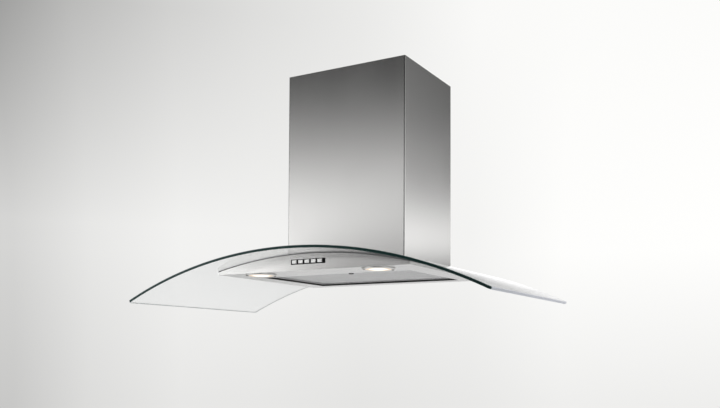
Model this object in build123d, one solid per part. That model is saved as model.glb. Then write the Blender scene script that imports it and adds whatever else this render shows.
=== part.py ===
from build123d import *
from math import asin, cos, degrees, radians, sin, sqrt
import os

# Wall-mounted chimney hood with an arched glass canopy.
# Millimetres. +Z is up, -Y is the front, and the wall is the plane Y = 0.
# The origin is the centre of the four wall screw holes, on the wall plane.

# ---------------------------------------------------------------- driving dimensions

# Glass canopy: one sheet bent to an arc about an axis that runs front to back.
GLASS_WIDTH = 900.0
GLASS_DEPTH = 490.0
GLASS_THICKNESS = 6.0
GLASS_RADIUS = 1040.0
GLASS_CORNER_RADIUS = 5.0
GLASS_ARRIS = 0.8
CROWN_Z = -150.0
CUTOUT_CORNER_RADIUS = 20.0
CUTOUT_REAR_Y = -28.0

# Body under the glass.
BODY_WIDTH = 494.0
BODY_DEPTH = 409.0
BODY_DROP = 43.8
BODY_SHEET = 1.0
PANEL_GAP = 0.2
SEAL_THICKNESS = 2.0
EDGE_SEAL_WIDTH = 8.0

# Chimney covers.
COVER_WIDTH = 316.0
COVER_DEPTH = 258.0
COVER_HEIGHT = 448.0
COVER_SHEET = 0.8
COVER_BEND_RADIUS = 3.0
COVER_LIP = 21.0
COVER_FOOT_GAP = 0.5
COVER_SLIDE_GAP = 0.4
UPPER_COVER_FOOT = 22.0
UPPER_COVER_INSET = 2.0
BRACKET_HEIGHT = 25.0
BRACKET_DROP = 6.0
BRACKET_THICKNESS = 1.5
BRACKET_HOLE_SPACING = 120.0
BRACKET_HOLE_RADIUS = 3.0
BRACKET_BOSS_RADIUS = 7.0

# Wall plate and motor box.
PLATE_THICKNESS = 1.5
PLATE_SIDE_GAP = 12.0
WALL_HOLE_SPACING_X = 200.0
WALL_HOLE_SPACING_Z = 160.0
WALL_HOLE_RADIUS = 4.0
BOX_SIDE_GAP = 28.0
BOX_FRONT_GAP = 22.0
BOX_HEIGHT = 250.0
BOX_CUTOUT_INSET = 8.0
BOX_SHEET = 1.0
BOX_LIP = 12.0
FOOT_WIDTH = 17.0
FOOT_FRONT = 6.0
FOOT_REAR_Y = -8.0
FOOT_THICKNESS = 1.2

# Fixings through the glass.
GLASS_BOLT_OUTSET = 8.0
GLASS_BOLT_FRONT_INSET = 36.0
GLASS_BOLT_REAR_Y = -60.0
GLASS_BOLT_RADIUS = 3.0
GLASS_HOLE_RADIUS = 5.0
GLASS_BOLT_HEAD_RADIUS = 5.5
GLASS_BOLT_HEAD_HEIGHT = 4.0
GLASS_NUT_RADIUS = 5.5
GLASS_NUT_HEIGHT = 4.5
GLASS_NUT_SEAT = 0.05
GLASS_BOLT_TAIL = 2.0

# Filter bay and the drop-down grease filter.
SIDE_STRIP = 52.0
FRONT_STRIP = 104.0
REAR_STRIP = 40.0
BAY_WALL_RISE = 1.0
FILTER_RECESS = 4.0
FILTER_THICKNESS = 9.0
FILTER_SIDE_GAP = 1.5
FILTER_REAR_GAP = 3.0
FILTER_RAIL = 12.0
FILTER_SKIN = 1.0
FILTER_LAYERS = 4
FILTER_LAYER_THICKNESS = 0.35
FILTER_PIVOT_INSET = 5.0
FILTER_PIN_RADIUS = 2.0
FILTER_PIN_HEAD_RADIUS = 3.5
FILTER_PIN_HEAD = 1.5
FILTER_PIN_REACH = 6.0
PIN_CLEARANCE = 0.05

# Sliding catch of the filter.
LATCH_X = 42.0
LATCH_TRAVEL = 4.0
LATCH_PLATE_WIDTH = 14.0
LATCH_PLATE_LENGTH = 6.0
LATCH_PLATE_HEIGHT = 2.0
LATCH_TONGUE_WIDTH = 8.0
LATCH_STEM_WIDTH = 6.0
LATCH_STEM_LENGTH = 3.6
LATCH_PAD_WIDTH = 10.0
LATCH_PAD_LENGTH = 8.0
LATCH_PAD_PROUD = 1.0
LATCH_GAP = 0.3

# Push buttons in the fascia.
BUTTON_NAMES = ("button_light", "button_off", "button_speed_1", "button_speed_2", "button_speed_3")
BUTTON_WIDTH = 12.0
BUTTON_SPACE = 4.4
BUTTON_HEIGHT = 7.4
BUTTON_PROUD = 5.0
BUTTON_TRAVEL = 3.0
BUTTON_GAP = 0.3
BUTTON_EDGE_RADIUS = 0.8
BUTTON_SHOULDER = 1.2
BUTTON_SHOULDER_LENGTH = 2.5
BUTTON_STEM_LENGTH = 4.0
BUTTON_DROP = 25.0
BEZEL_SIDE_MARGIN = 5.2
BEZEL_RIM = 1.8
BEZEL_PROUD = 1.0
BEZEL_NECK_INSET = 0.8
BEZEL_NECK_LENGTH = 5.0
SWITCH_DEPTH = 23.0
SWITCH_HEIGHT = 16.0

# Spot lamps.
LAMP_SIDE_INSET = 58.0
LAMP_FRONT_INSET = 2.0
LAMP_LENS_RADIUS = 28.0
LAMP_BEZEL_WIDTH = 8.0
LAMP_BEZEL_HEIGHT = 2.6
LAMP_BEZEL_CHAMFER = 1.2
LAMP_SCREW_ANGLE = 45.0
LAMP_LENS_THICKNESS = 3.0
LAMP_BOWL_HEIGHT = 12.0
LAMP_BOWL_TOP_RADIUS = 16.0
LAMP_BOWL_WALL = 0.8
LAMP_BOWL_FLANGE = 3.0
LAMP_BULB_RADIUS = 4.5
LAMP_BULB_LENGTH = 9.0
LAMP_SOCKET_SIZE = 14.0
LAMP_SOCKET_HEIGHT = 5.0

# Blower: double-inlet scroll with its shaft across the hood.
FAN_REAR_GAP = 18.5
FAN_HEIGHT = 118.0
SCROLL_HALF_WIDTH = 72.0
SCROLL_WALL = 2.0
SCROLL_GROWTH = (12.0, 20.0, 30.0)
SCROLL_FRONT_GROWTH = 14.0
SCROLL_OFFSET = -4.0
SCROLL_THROAT_START = 20.0
SCROLL_TONGUE = 12.0
SCROLL_FLANGE = 8.0
SCROLL_FLANGE_THICKNESS = 3.0
IMPELLER_RADIUS = 72.0
IMPELLER_BLADE_DEPTH = 12.0
IMPELLER_HALF_WIDTH = 58.0
IMPELLER_BLADES = 32
IMPELLER_BLADE_THICKNESS = 1.2
IMPELLER_PLATE = 2.0
HUB_RADIUS = 12.0
HUB_LENGTH = 16.0
SHAFT_RADIUS = 4.0
MOTOR_RADIUS = 42.0
MOTOR_START = 6.0
MOTOR_END = 62.0
MOTOR_BOSS_RADIUS = 18.0
MOTOR_FILLET = 4.0
ARM_COUNT = 3
ARM_WIDTH = 14.0
ARM_THICKNESS = 1.5
ARM_SCREW_MARGIN = 5.5

# Outlet collar and backdraught damper.
COLLAR_RADIUS = 75.0
COLLAR_WALL = 2.0
COLLAR_REAR_GAP = 13.0
COLLAR_LENGTH = 54.0
ADAPTER_HEIGHT = 34.5
COLLAR_FLANGE_THICKNESS = 1.5
COLLAR_LEDGE = 3.0
DAMPER_HEIGHT = 20.0
DAMPER_PIN_RADIUS = 1.5
DAMPER_KNUCKLE_RADIUS = 2.6
DAMPER_THICKNESS = 1.2
DAMPER_EDGE_GAP = 0.6
DAMPER_KNUCKLE_GAP = 0.6
DAMPER_KNUCKLES = 4

# Electrical pieces in the motor box and the body.
TERMINAL_BOX_SIZE = (40.0, 26.0, 60.0)
TERMINAL_BOX_X = 105.0
TERMINAL_BOX_HEIGHT = 180.0
CAPACITOR_RADIUS = 17.5
CAPACITOR_LENGTH = 60.0
CAPACITOR_Y = -200.0
CAPACITOR_HEIGHT = 150.0
GLAND_X = 104.0
GLAND_Y = -190.0
GLAND_THREAD_RADIUS = 8.0
GLAND_BORE_RADIUS = 4.5
GLAND_NUT_RADIUS = 12.0
GLAND_NUT_HEIGHT = 5.0
GLAND_DOME_RADIUS = 10.0
GLAND_DOME_HEIGHT = 14.0
TRANSFORMER_SIZE = (60.0, 40.0, 16.0)
TRANSFORMER_LAMP_GAP = 7.0
TRANSFORMER_SWITCH_GAP = 5.0

# Small screws: shank radius, head radius, head height.
M4_SCREW = (1.95, 3.6, 2.2)
M4_HOLE_RADIUS = 2.0
LAMP_SCREW = (1.2, 2.6, 1.0)
LAMP_SCREW_HOLE_RADIUS = 1.25
BOX_SCREW_HEIGHTS = (30.0, 125.0, 225.0)
COVER_SCREW_HEIGHT = 8.0
OVERRUN = 5.0

# ---------------------------------------------------------------- derived planes

BOX_WIDTH = COVER_WIDTH - 2 * BOX_SIDE_GAP
BOX_FRONT_Y = -COVER_DEPTH + BOX_FRONT_GAP
PLATE_WIDTH = COVER_WIDTH - 2 * PLATE_SIDE_GAP
CUTOUT_HALF_WIDTH = BOX_WIDTH / 2 - BOX_CUTOUT_INSET
CUTOUT_FRONT_Y = BOX_FRONT_Y + BOX_CUTOUT_INSET
GLASS_BOLT_X = BOX_WIDTH / 2 + GLASS_BOLT_OUTSET
GLASS_BOLT_YS = (BOX_FRONT_Y + GLASS_BOLT_FRONT_INSET, GLASS_BOLT_REAR_Y)
ARCH_Z = CROWN_Z - GLASS_RADIUS
GLASS_UNDER_RADIUS = GLASS_RADIUS - GLASS_THICKNESS
BODY_TOP_RADIUS = GLASS_UNDER_RADIUS - SEAL_THICKNESS
FOOT_RADIUS = GLASS_RADIUS + SEAL_THICKNESS
BODY_BOTTOM_Z = CROWN_Z - BODY_DROP
FASCIA_Y = -BODY_DEPTH
BOX_TOP_Z = CROWN_Z + BOX_HEIGHT
CHIMNEY_TOP_Z = CROWN_Z + COVER_HEIGHT
FAN_Z = CROWN_Z + FAN_HEIGHT
BUTTON_Z = CROWN_Z - BUTTON_DROP
BUTTON_PITCH = BUTTON_WIDTH + BUTTON_SPACE
BEZEL_WIDTH = len(BUTTON_NAMES) * BUTTON_PITCH - BUTTON_SPACE + 2 * BEZEL_SIDE_MARGIN
BEZEL_HEIGHT = BUTTON_HEIGHT + 2 * BEZEL_RIM
BAY_WIDTH = BODY_WIDTH - 2 * SIDE_STRIP
BAY_FRONT_Y = FASCIA_Y + FRONT_STRIP
BAY_REAR_Y = -REAR_STRIP
BAY_WALL_HEIGHT = FILTER_RECESS + FILTER_THICKNESS + BAY_WALL_RISE
LAMP_BEZEL_RADIUS = LAMP_LENS_RADIUS + LAMP_BEZEL_WIDTH
LAMP_SCREW_CIRCLE = LAMP_LENS_RADIUS + LAMP_BEZEL_WIDTH / 2
LAMP_X = BODY_WIDTH / 2 - LAMP_SIDE_INSET - LAMP_BEZEL_RADIUS
LAMP_Y = FASCIA_Y + LAMP_FRONT_INSET + LAMP_BEZEL_RADIUS
TRANSFORMER_X = -LAMP_X + LAMP_BEZEL_RADIUS + TRANSFORMER_LAMP_GAP + TRANSFORMER_SIZE[0] / 2
TRANSFORMER_Y = FASCIA_Y + BEZEL_NECK_LENGTH + SWITCH_DEPTH + TRANSFORMER_SWITCH_GAP + TRANSFORMER_SIZE[1] / 2
FILTER_BOTTOM_Z = BODY_BOTTOM_Z + FILTER_RECESS
FILTER_TOP_Z = FILTER_BOTTOM_Z + FILTER_THICKNESS
FILTER_HALF_WIDTH = BAY_WIDTH / 2 - FILTER_SIDE_GAP
FILTER_FRONT_Y = BAY_FRONT_Y + FILTER_SIDE_GAP
FILTER_REAR_Y = BAY_REAR_Y - FILTER_REAR_GAP
FILTER_PIVOT_Y = FILTER_REAR_Y - FILTER_PIVOT_INSET
FILTER_PIVOT_Z = FILTER_BOTTOM_Z + FILTER_THICKNESS / 2
COVER_LIP_Y = -PLATE_THICKNESS
UPPER_LIP_Y = COVER_LIP_Y - COVER_SHEET - COVER_SLIDE_GAP
COLLAR_Y = -COLLAR_RADIUS - COLLAR_REAR_GAP
COLLAR_BASE_Z = BOX_TOP_Z + COLLAR_FLANGE_THICKNESS + ADAPTER_HEIGHT
DAMPER_Z = COLLAR_BASE_Z + DAMPER_HEIGHT
SCROLL_RADII = [IMPELLER_RADIUS + growth for growth in SCROLL_GROWTH]
SCROLL_FRONT = IMPELLER_RADIUS + SCROLL_FRONT_GROWTH
SCROLL_INLET_RADIUS = IMPELLER_RADIUS - IMPELLER_BLADE_DEPTH
ARM_SCREW_CIRCLE = SCROLL_INLET_RADIUS + ARM_SCREW_MARGIN
SCROLL_TOP = BOX_HEIGHT - BOX_SHEET - FAN_HEIGHT
THROAT_END = SCROLL_RADII[1] - SCROLL_FRONT + SCROLL_RADII[2]
FAN_Y = -PLATE_THICKNESS - FAN_REAR_GAP - THROAT_END


# ---------------------------------------------------------------- helpers

def slab(x0, x1, y0, y1, z0, z1):
    """Block between two opposite corners."""
    return Pos((x0 + x1) / 2, (y0 + y1) / 2, (z0 + z1) / 2) * Box(x1 - x0, y1 - y0, z1 - z0)


def rod_x(radius, x0, x1, y, z):
    """Round bar along X."""
    return Pos((x0 + x1) / 2, y, z) * Rot(0, 90, 0) * Cylinder(radius, x1 - x0)


def rod_y(radius, x, y0, y1, z):
    """Round bar along Y."""
    return Pos(x, (y0 + y1) / 2, z) * Rot(90, 0, 0) * Cylinder(radius, y1 - y0)


def rod_z(radius, x, y, z0, z1):
    """Round bar along Z."""
    return Pos(x, y, (z0 + z1) / 2) * Cylinder(radius, z1 - z0)


def arch_core(radius, y0=-2 * GLASS_DEPTH, y1=GLASS_DEPTH):
    """Everything nearer than radius to the axis that the glass is bent about."""
    return rod_y(radius, 0, y0, y1, ARCH_Z)


def arch_sheet(r_in, r_out, x0, x1, y0, y1):
    """Sheet concentric with the glass, trimmed to a rectangle in plan."""
    reach = BODY_WIDTH
    block = slab(x0, x1, y0, y1, CROWN_Z - reach, CROWN_Z + reach)
    return (block & arch_core(r_out)) - arch_core(r_in)


def on_arch(x, y, radius):
    """Place at radius on the line square to the glass where its upper face is at x, y."""
    angle = asin(x / GLASS_RADIUS)
    return Pos(radius * sin(angle), y, ARCH_Z + radius * cos(angle)) * Rot(0, degrees(angle), 0)


def glass_bolt_places():
    """Plan positions of the four fixings through the glass."""
    return [(side * GLASS_BOLT_X, y) for side in (-1, 1) for y in GLASS_BOLT_YS]


def arch_hole(x, y, radius, r_in, r_out):
    """Drill through the sheets between two arch radii."""
    length = r_out - r_in
    return on_arch(x, y, r_in) * Pos(0, 0, length / 2) * Cylinder(radius, length)


def drill_arch(solid, radius, r_in, r_out):
    """Cut the four fixing holes out of a curved sheet."""
    for x, y in glass_bolt_places():
        solid -= arch_hole(x, y, radius, r_in - OVERRUN, r_out + OVERRUN)
    return solid


def screw(spec, grip):
    """Round-head screw: head on +Z, shank down to -grip."""
    shank, head, head_height = spec
    body = Pos(0, 0, head_height / 2) * Cylinder(head, head_height)
    body = chamfer(body.edges().sort_by(Axis.Z)[-1], head_height / 3)
    return body + Pos(0, 0, -grip / 2) * Cylinder(shank, grip)


def save(name, shape):
    """Write one sub-part."""
    export_step(shape, f"parts/{name}.step")


# ---------------------------------------------------------------- glass and seals

def glass_canopy():
    """Bent sheet with radial ends, rounded plan corners, a cut-out and four bolt holes."""
    half_angle = asin(GLASS_WIDTH / 2 / GLASS_RADIUS)

    def point(radius, angle):
        return (radius * sin(angle), -GLASS_DEPTH, ARCH_Z + radius * cos(angle))

    outer = [point(GLASS_RADIUS, a) for a in (-half_angle, 0, half_angle)]
    inner = [point(GLASS_UNDER_RADIUS, a) for a in (half_angle, 0, -half_angle)]
    outline = [
        ThreePointArc(*outer),
        Line(outer[2], inner[0]),
        ThreePointArc(*inner),
        Line(inner[2], outer[0]),
    ]
    sheet = extrude(make_face(outline), amount=GLASS_DEPTH, dir=(0, 1, 0))
    corners = [e for e in sheet.edges() if abs(e.length - GLASS_THICKNESS) < GLASS_THICKNESS / 10]
    sheet = fillet(corners, GLASS_CORNER_RADIUS)
    ends = [e for e in sheet.edges() if e.length > GLASS_DEPTH / 2]
    sheet = chamfer(ends, GLASS_ARRIS)
    sheet -= cutout_block(0)
    return drill_arch(sheet, GLASS_HOLE_RADIUS, GLASS_UNDER_RADIUS, GLASS_RADIUS)


def cutout_block(inset):
    """Upright block that cuts the air opening, drawn in by inset on every side."""
    block = slab(
        -CUTOUT_HALF_WIDTH + inset, CUTOUT_HALF_WIDTH - inset,
        CUTOUT_FRONT_Y + inset, CUTOUT_REAR_Y - inset,
        CROWN_Z - BODY_DROP + BODY_SHEET + OVERRUN, CROWN_Z + OVERRUN,
    )
    return fillet(block.edges().filter_by(Axis.Z), CUTOUT_CORNER_RADIUS - inset)


def edge_seal():
    """Rubber strip between the rim of the body and the glass."""
    half = BODY_WIDTH / 2
    ring = arch_sheet(BODY_TOP_RADIUS, GLASS_UNDER_RADIUS, -half, half, FASCIA_Y, 0)
    inner = half - EDGE_SEAL_WIDTH
    return ring - slab(
        -inner, inner, FASCIA_Y + EDGE_SEAL_WIDTH, -EDGE_SEAL_WIDTH, BODY_BOTTOM_Z, CROWN_Z + OVERRUN
    )


def clamp_seal(r_in, r_out):
    """Rubber frame round the cut-out, under the foot of the motor box."""
    half = BOX_WIDTH / 2 + FOOT_WIDTH
    front = BOX_FRONT_Y - FOOT_FRONT
    frame = arch_sheet(r_in, r_out, -half, half, front, CUTOUT_REAR_Y + FOOT_FRONT)
    return drill_arch(frame - cutout_block(0), GLASS_HOLE_RADIUS, r_in, r_out)


def glass_fixings():
    """Bolts, nuts and bushes that clamp the glass between body and motor box."""
    bolt_top = FOOT_RADIUS + FOOT_THICKNESS
    nut_top = BODY_TOP_RADIUS - BODY_SHEET - GLASS_NUT_SEAT
    shank = bolt_top - nut_top + GLASS_NUT_HEIGHT + GLASS_BOLT_TAIL
    bolts, nuts, bushes = [], [], []
    for x, y in glass_bolt_places():
        head = extrude(RegularPolygon(GLASS_BOLT_HEAD_RADIUS, 6), GLASS_BOLT_HEAD_HEIGHT)
        bolt = head + Pos(0, 0, -shank / 2) * Cylinder(GLASS_BOLT_RADIUS, shank)
        bolts.append(on_arch(x, y, bolt_top) * bolt)
        nut = extrude(RegularPolygon(GLASS_NUT_RADIUS, 6), -GLASS_NUT_HEIGHT)
        nut -= Cylinder(GLASS_BOLT_RADIUS, 4 * GLASS_NUT_HEIGHT)
        nuts.append(on_arch(x, y, nut_top) * nut)
        bush = Cylinder(GLASS_HOLE_RADIUS, GLASS_THICKNESS)
        bush -= Cylinder(GLASS_BOLT_RADIUS, 2 * GLASS_THICKNESS)
        bushes.append(on_arch(x, y, GLASS_RADIUS - GLASS_THICKNESS / 2) * bush)
    return Compound(children=bolts), Compound(children=nuts), Compound(children=bushes)


# ---------------------------------------------------------------- body under the glass

def body_shell():
    """Fascia, end walls, rear wall and arched top in one folded sheet, open below."""
    half = BODY_WIDTH / 2
    inner = half - BODY_SHEET
    block = slab(-half, half, FASCIA_Y, 0, BODY_BOTTOM_Z, CROWN_Z) & arch_core(BODY_TOP_RADIUS)
    hollow = slab(-inner, inner, FASCIA_Y + BODY_SHEET, -BODY_SHEET, BODY_BOTTOM_Z - OVERRUN, CROWN_Z)
    shell = block - (hollow & arch_core(BODY_TOP_RADIUS - BODY_SHEET))
    shell -= cutout_block(-OVERRUN / 2)
    shell = drill_arch(shell, GLASS_BOLT_RADIUS, BODY_TOP_RADIUS - BODY_SHEET, BODY_TOP_RADIUS)
    neck_half = BEZEL_WIDTH / 2 - BEZEL_NECK_INSET
    neck_rise = BEZEL_HEIGHT / 2 - BEZEL_NECK_INSET
    return shell - slab(
        -neck_half, neck_half, FASCIA_Y - OVERRUN, FASCIA_Y + OVERRUN,
        BUTTON_Z - neck_rise, BUTTON_Z + neck_rise,
    )


def latch_window(z0, z1, y0, y1):
    """Opening that the tongue of the catch passes through."""
    half = LATCH_TONGUE_WIDTH / 2 + LATCH_GAP
    return slab(LATCH_X - half, LATCH_X + half, y0, y1, z0 - LATCH_GAP, z1 + LATCH_GAP)


def tongue_heights():
    """Lowest and highest level of the catch's tongue."""
    low = FILTER_BOTTOM_Z + FILTER_SKIN + LATCH_GAP
    return low, low + LATCH_PLATE_HEIGHT


def underside_panel():
    """Bottom plate with two lamp holes and the upturned walls of the filter bay."""
    half = BODY_WIDTH / 2 - BODY_SHEET - PANEL_GAP
    front = FASCIA_Y + BODY_SHEET + PANEL_GAP
    rear = -BODY_SHEET - PANEL_GAP
    plate = slab(-half, half, front, rear, BODY_BOTTOM_Z, BODY_BOTTOM_Z + BODY_SHEET)
    bay_half = BAY_WIDTH / 2
    rim = bay_half + BODY_SHEET
    bay_top = BODY_BOTTOM_Z + BAY_WALL_HEIGHT
    plate += slab(-rim, rim, BAY_FRONT_Y - BODY_SHEET, BAY_REAR_Y + BODY_SHEET, BODY_BOTTOM_Z, bay_top)
    plate -= slab(
        -bay_half, bay_half, BAY_FRONT_Y, BAY_REAR_Y, BODY_BOTTOM_Z - OVERRUN, bay_top + OVERRUN
    )
    for side in (-1, 1):
        x = side * LAMP_X
        plate -= rod_z(LAMP_LENS_RADIUS, x, LAMP_Y, BODY_BOTTOM_Z - OVERRUN, BODY_BOTTOM_Z + OVERRUN)
        for sx, sy in lamp_screw_places(x):
            plate -= rod_z(LAMP_SCREW_HOLE_RADIUS, sx, sy, BODY_BOTTOM_Z - OVERRUN, BODY_BOTTOM_Z + OVERRUN)
    plate -= rod_x(FILTER_PIN_RADIUS, -rim - OVERRUN, rim + OVERRUN, FILTER_PIVOT_Y, FILTER_PIVOT_Z)
    low, high = tongue_heights()
    return plate - latch_window(low, high, BAY_FRONT_Y - OVERRUN, BAY_FRONT_Y + OVERRUN)


# ---------------------------------------------------------------- grease filter

def filter_frame():
    """C-section frame, open towards the mesh, with pivot holes and the slot of the catch."""
    half = FILTER_HALF_WIDTH
    frame = slab(-half, half, FILTER_FRONT_Y, FILTER_REAR_Y, FILTER_BOTTOM_Z, FILTER_TOP_Z)
    frame -= slab(
        -half + FILTER_SKIN, half - FILTER_SKIN,
        FILTER_FRONT_Y + FILTER_SKIN, FILTER_REAR_Y - FILTER_SKIN,
        FILTER_BOTTOM_Z + FILTER_SKIN, FILTER_TOP_Z - FILTER_SKIN,
    )
    frame -= slab(
        -half + FILTER_RAIL, half - FILTER_RAIL,
        FILTER_FRONT_Y + FILTER_RAIL, FILTER_REAR_Y - FILTER_RAIL,
        FILTER_BOTTOM_Z - OVERRUN, FILTER_TOP_Z + OVERRUN,
    )
    frame -= rod_x(
        FILTER_PIN_RADIUS + PIN_CLEARANCE, -half - OVERRUN, half + OVERRUN, FILTER_PIVOT_Y, FILTER_PIVOT_Z
    )
    low, high = tongue_heights()
    frame -= latch_window(low, high, FILTER_FRONT_Y - OVERRUN, FILTER_FRONT_Y + 2 * FILTER_SKIN)
    stem_half = LATCH_STEM_WIDTH / 2 + LATCH_GAP
    stem_front, stem_rear = latch_stem_span()
    return frame - slab(
        LATCH_X - stem_half, LATCH_X + stem_half,
        stem_front - LATCH_TRAVEL - LATCH_GAP, stem_rear + LATCH_GAP,
        FILTER_BOTTOM_Z - OVERRUN, FILTER_BOTTOM_Z + 2 * FILTER_SKIN,
    )


def mesh_layer(low):
    """One sheet of expanded aluminium, notched clear of the pivot pins and the catch."""
    half = FILTER_HALF_WIDTH - FILTER_SKIN - LATCH_GAP
    front = FILTER_FRONT_Y + FILTER_SKIN + LATCH_GAP
    rear = FILTER_REAR_Y - FILTER_SKIN - LATCH_GAP
    high = low + FILTER_LAYER_THICKNESS
    sheet = slab(-half, half, front, rear, low, high)
    notch = LATCH_PLATE_WIDTH / 2 + 2 * LATCH_GAP
    sheet -= slab(LATCH_X - notch, LATCH_X + notch, front, FILTER_FRONT_Y + FILTER_RAIL, low, high)
    pocket = FILTER_PIN_REACH + 2 * FILTER_PIN_RADIUS
    for side in (-1, 1):
        x0, x1 = sorted((side * half, side * (half - pocket)))
        sheet -= slab(x0, x1, FILTER_PIVOT_Y - pocket / 2, rear, low, high)
    return sheet


def filter_mesh():
    """Stack of expanded aluminium sheets between the flanges of the frame."""
    low = FILTER_BOTTOM_Z + FILTER_SKIN
    span = FILTER_THICKNESS - 2 * FILTER_SKIN - FILTER_LAYER_THICKNESS
    step = span / (FILTER_LAYERS - 1)
    return Compound(children=[mesh_layer(low + i * step) for i in range(FILTER_LAYERS)])


def filter_pins():
    """Two headed pins pressed into the bay walls: the filter swings on them."""
    pins = []
    wall = BAY_WIDTH / 2
    for side in (-1, 1):
        shank = sorted((side * (wall + BODY_SHEET), side * (wall - FILTER_PIN_REACH)))
        head = sorted((side * (wall + BODY_SHEET), side * (wall + BODY_SHEET + FILTER_PIN_HEAD)))
        pin = rod_x(FILTER_PIN_RADIUS, shank[0], shank[1], FILTER_PIVOT_Y, FILTER_PIVOT_Z)
        pin += rod_x(FILTER_PIN_HEAD_RADIUS, head[0], head[1], FILTER_PIVOT_Y, FILTER_PIVOT_Z)
        pins.append(pin)
    return Compound(children=pins)


def latch_plate_front():
    """Front of the catch's plate when the catch is drawn back."""
    return FILTER_FRONT_Y + FILTER_SKIN + LATCH_GAP + LATCH_TRAVEL


def latch_stem_span():
    """Front and rear of the stem that joins the catch's plate to its finger pad."""
    front = latch_plate_front() + (LATCH_PLATE_LENGTH - LATCH_STEM_LENGTH) / 2
    return front, front + LATCH_STEM_LENGTH


def filter_latch():
    """Sliding catch: plate and tongue in the front rail, finger pad below it."""
    low, high = tongue_heights()
    front = latch_plate_front()
    rear = front + LATCH_PLATE_LENGTH
    plate_half = LATCH_PLATE_WIDTH / 2
    catch = slab(LATCH_X - plate_half, LATCH_X + plate_half, front, rear, low, high)
    tongue_half = LATCH_TONGUE_WIDTH / 2
    catch += slab(
        LATCH_X - tongue_half, LATCH_X + tongue_half, FILTER_FRONT_Y + LATCH_GAP, rear, low, high
    )
    stem_half = LATCH_STEM_WIDTH / 2
    stem_front, stem_rear = latch_stem_span()
    pad_top = FILTER_BOTTOM_Z - LATCH_GAP
    catch += slab(LATCH_X - stem_half, LATCH_X + stem_half, stem_front, stem_rear, pad_top, low)
    pad_half = LATCH_PAD_WIDTH / 2
    pad_front = (front + rear - LATCH_PAD_LENGTH) / 2
    pad = slab(
        LATCH_X - pad_half, LATCH_X + pad_half, pad_front, pad_front + LATCH_PAD_LENGTH,
        BODY_BOTTOM_Z - LATCH_PAD_PROUD, pad_top,
    )
    pad = fillet(pad.edges().filter_by(Axis.Z), LATCH_PAD_WIDTH / 5)
    return catch + pad


# ---------------------------------------------------------------- push buttons

def button_places():
    """Names and centres of the buttons, from left to right."""
    middle = (len(BUTTON_NAMES) - 1) / 2
    return [(name, (i - middle) * BUTTON_PITCH) for i, name in enumerate(BUTTON_NAMES)]


def button_planes():
    """Y of the bezel's rear face, which is also the front of the switch block."""
    return FASCIA_Y + BEZEL_NECK_LENGTH


def button_bezel():
    """Black frame in the fascia with one window for each button."""
    half = BEZEL_WIDTH / 2
    rise = BEZEL_HEIGHT / 2
    flange = slab(-half, half, FASCIA_Y - BEZEL_PROUD, FASCIA_Y, BUTTON_Z - rise, BUTTON_Z + rise)
    flange = fillet(flange.edges().filter_by(Axis.Y), BEZEL_NECK_INSET)
    inset = BEZEL_NECK_INSET
    bezel = flange + slab(
        -half + inset, half - inset, FASCIA_Y, button_planes(), BUTTON_Z - rise + inset, BUTTON_Z + rise - inset
    )
    window = BUTTON_WIDTH / 2 + BUTTON_GAP
    window_rise = BUTTON_HEIGHT / 2 + BUTTON_GAP
    for _, x in button_places():
        bezel -= slab(
            x - window, x + window, FASCIA_Y - OVERRUN, button_planes() + OVERRUN,
            BUTTON_Z - window_rise, BUTTON_Z + window_rise,
        )
    return bezel


def button(x):
    """One push button: rounded cap, shoulder behind the bezel and plunger."""
    half = BUTTON_WIDTH / 2
    rise = BUTTON_HEIGHT / 2
    front = FASCIA_Y - BUTTON_PROUD
    shoulder = button_planes() + BUTTON_GAP
    cap = slab(x - half, x + half, front, shoulder, BUTTON_Z - rise, BUTTON_Z + rise)
    cap = fillet(cap.faces().sort_by(Axis.Y)[0].edges(), BUTTON_EDGE_RADIUS)
    wide = half + BUTTON_SHOULDER
    step = slab(
        x - wide, x + wide, shoulder, shoulder + BUTTON_SHOULDER_LENGTH, BUTTON_Z - rise, BUTTON_Z + rise
    )
    plunger_start = shoulder + BUTTON_SHOULDER_LENGTH
    plunger = rod_y(rise / 2, x, plunger_start, plunger_start + BUTTON_STEM_LENGTH, BUTTON_Z)
    return cap + step + plunger


def switch_block():
    """Switch bank behind the bezel, with a pocket and a plunger hole for each button."""
    front = button_planes()
    half = BEZEL_WIDTH / 2 - BEZEL_NECK_INSET
    block = slab(
        -half, half, front, front + SWITCH_DEPTH, BUTTON_Z - SWITCH_HEIGHT / 2, BUTTON_Z + SWITCH_HEIGHT / 2
    )
    wide = BUTTON_WIDTH / 2 + BUTTON_SHOULDER + BUTTON_GAP
    rise = BUTTON_HEIGHT / 2 + BUTTON_GAP
    pocket_end = front + BUTTON_SHOULDER_LENGTH + BUTTON_TRAVEL + 2 * BUTTON_GAP
    plunger_end = pocket_end + BUTTON_STEM_LENGTH
    for _, x in button_places():
        block -= slab(x - wide, x + wide, front - OVERRUN, pocket_end, BUTTON_Z - rise, BUTTON_Z + rise)
        block -= rod_y(BUTTON_HEIGHT / 4 + BUTTON_GAP, x, front, plunger_end, BUTTON_Z)
    return block


# ---------------------------------------------------------------- spot lamps

def lamp_screw_places(x):
    """The two screws of a lamp bezel, on one diagonal."""
    dx = LAMP_SCREW_CIRCLE * cos(radians(LAMP_SCREW_ANGLE))
    dy = LAMP_SCREW_CIRCLE * sin(radians(LAMP_SCREW_ANGLE))
    return [(x - dx, LAMP_Y - dy), (x + dx, LAMP_Y + dy)]


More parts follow.
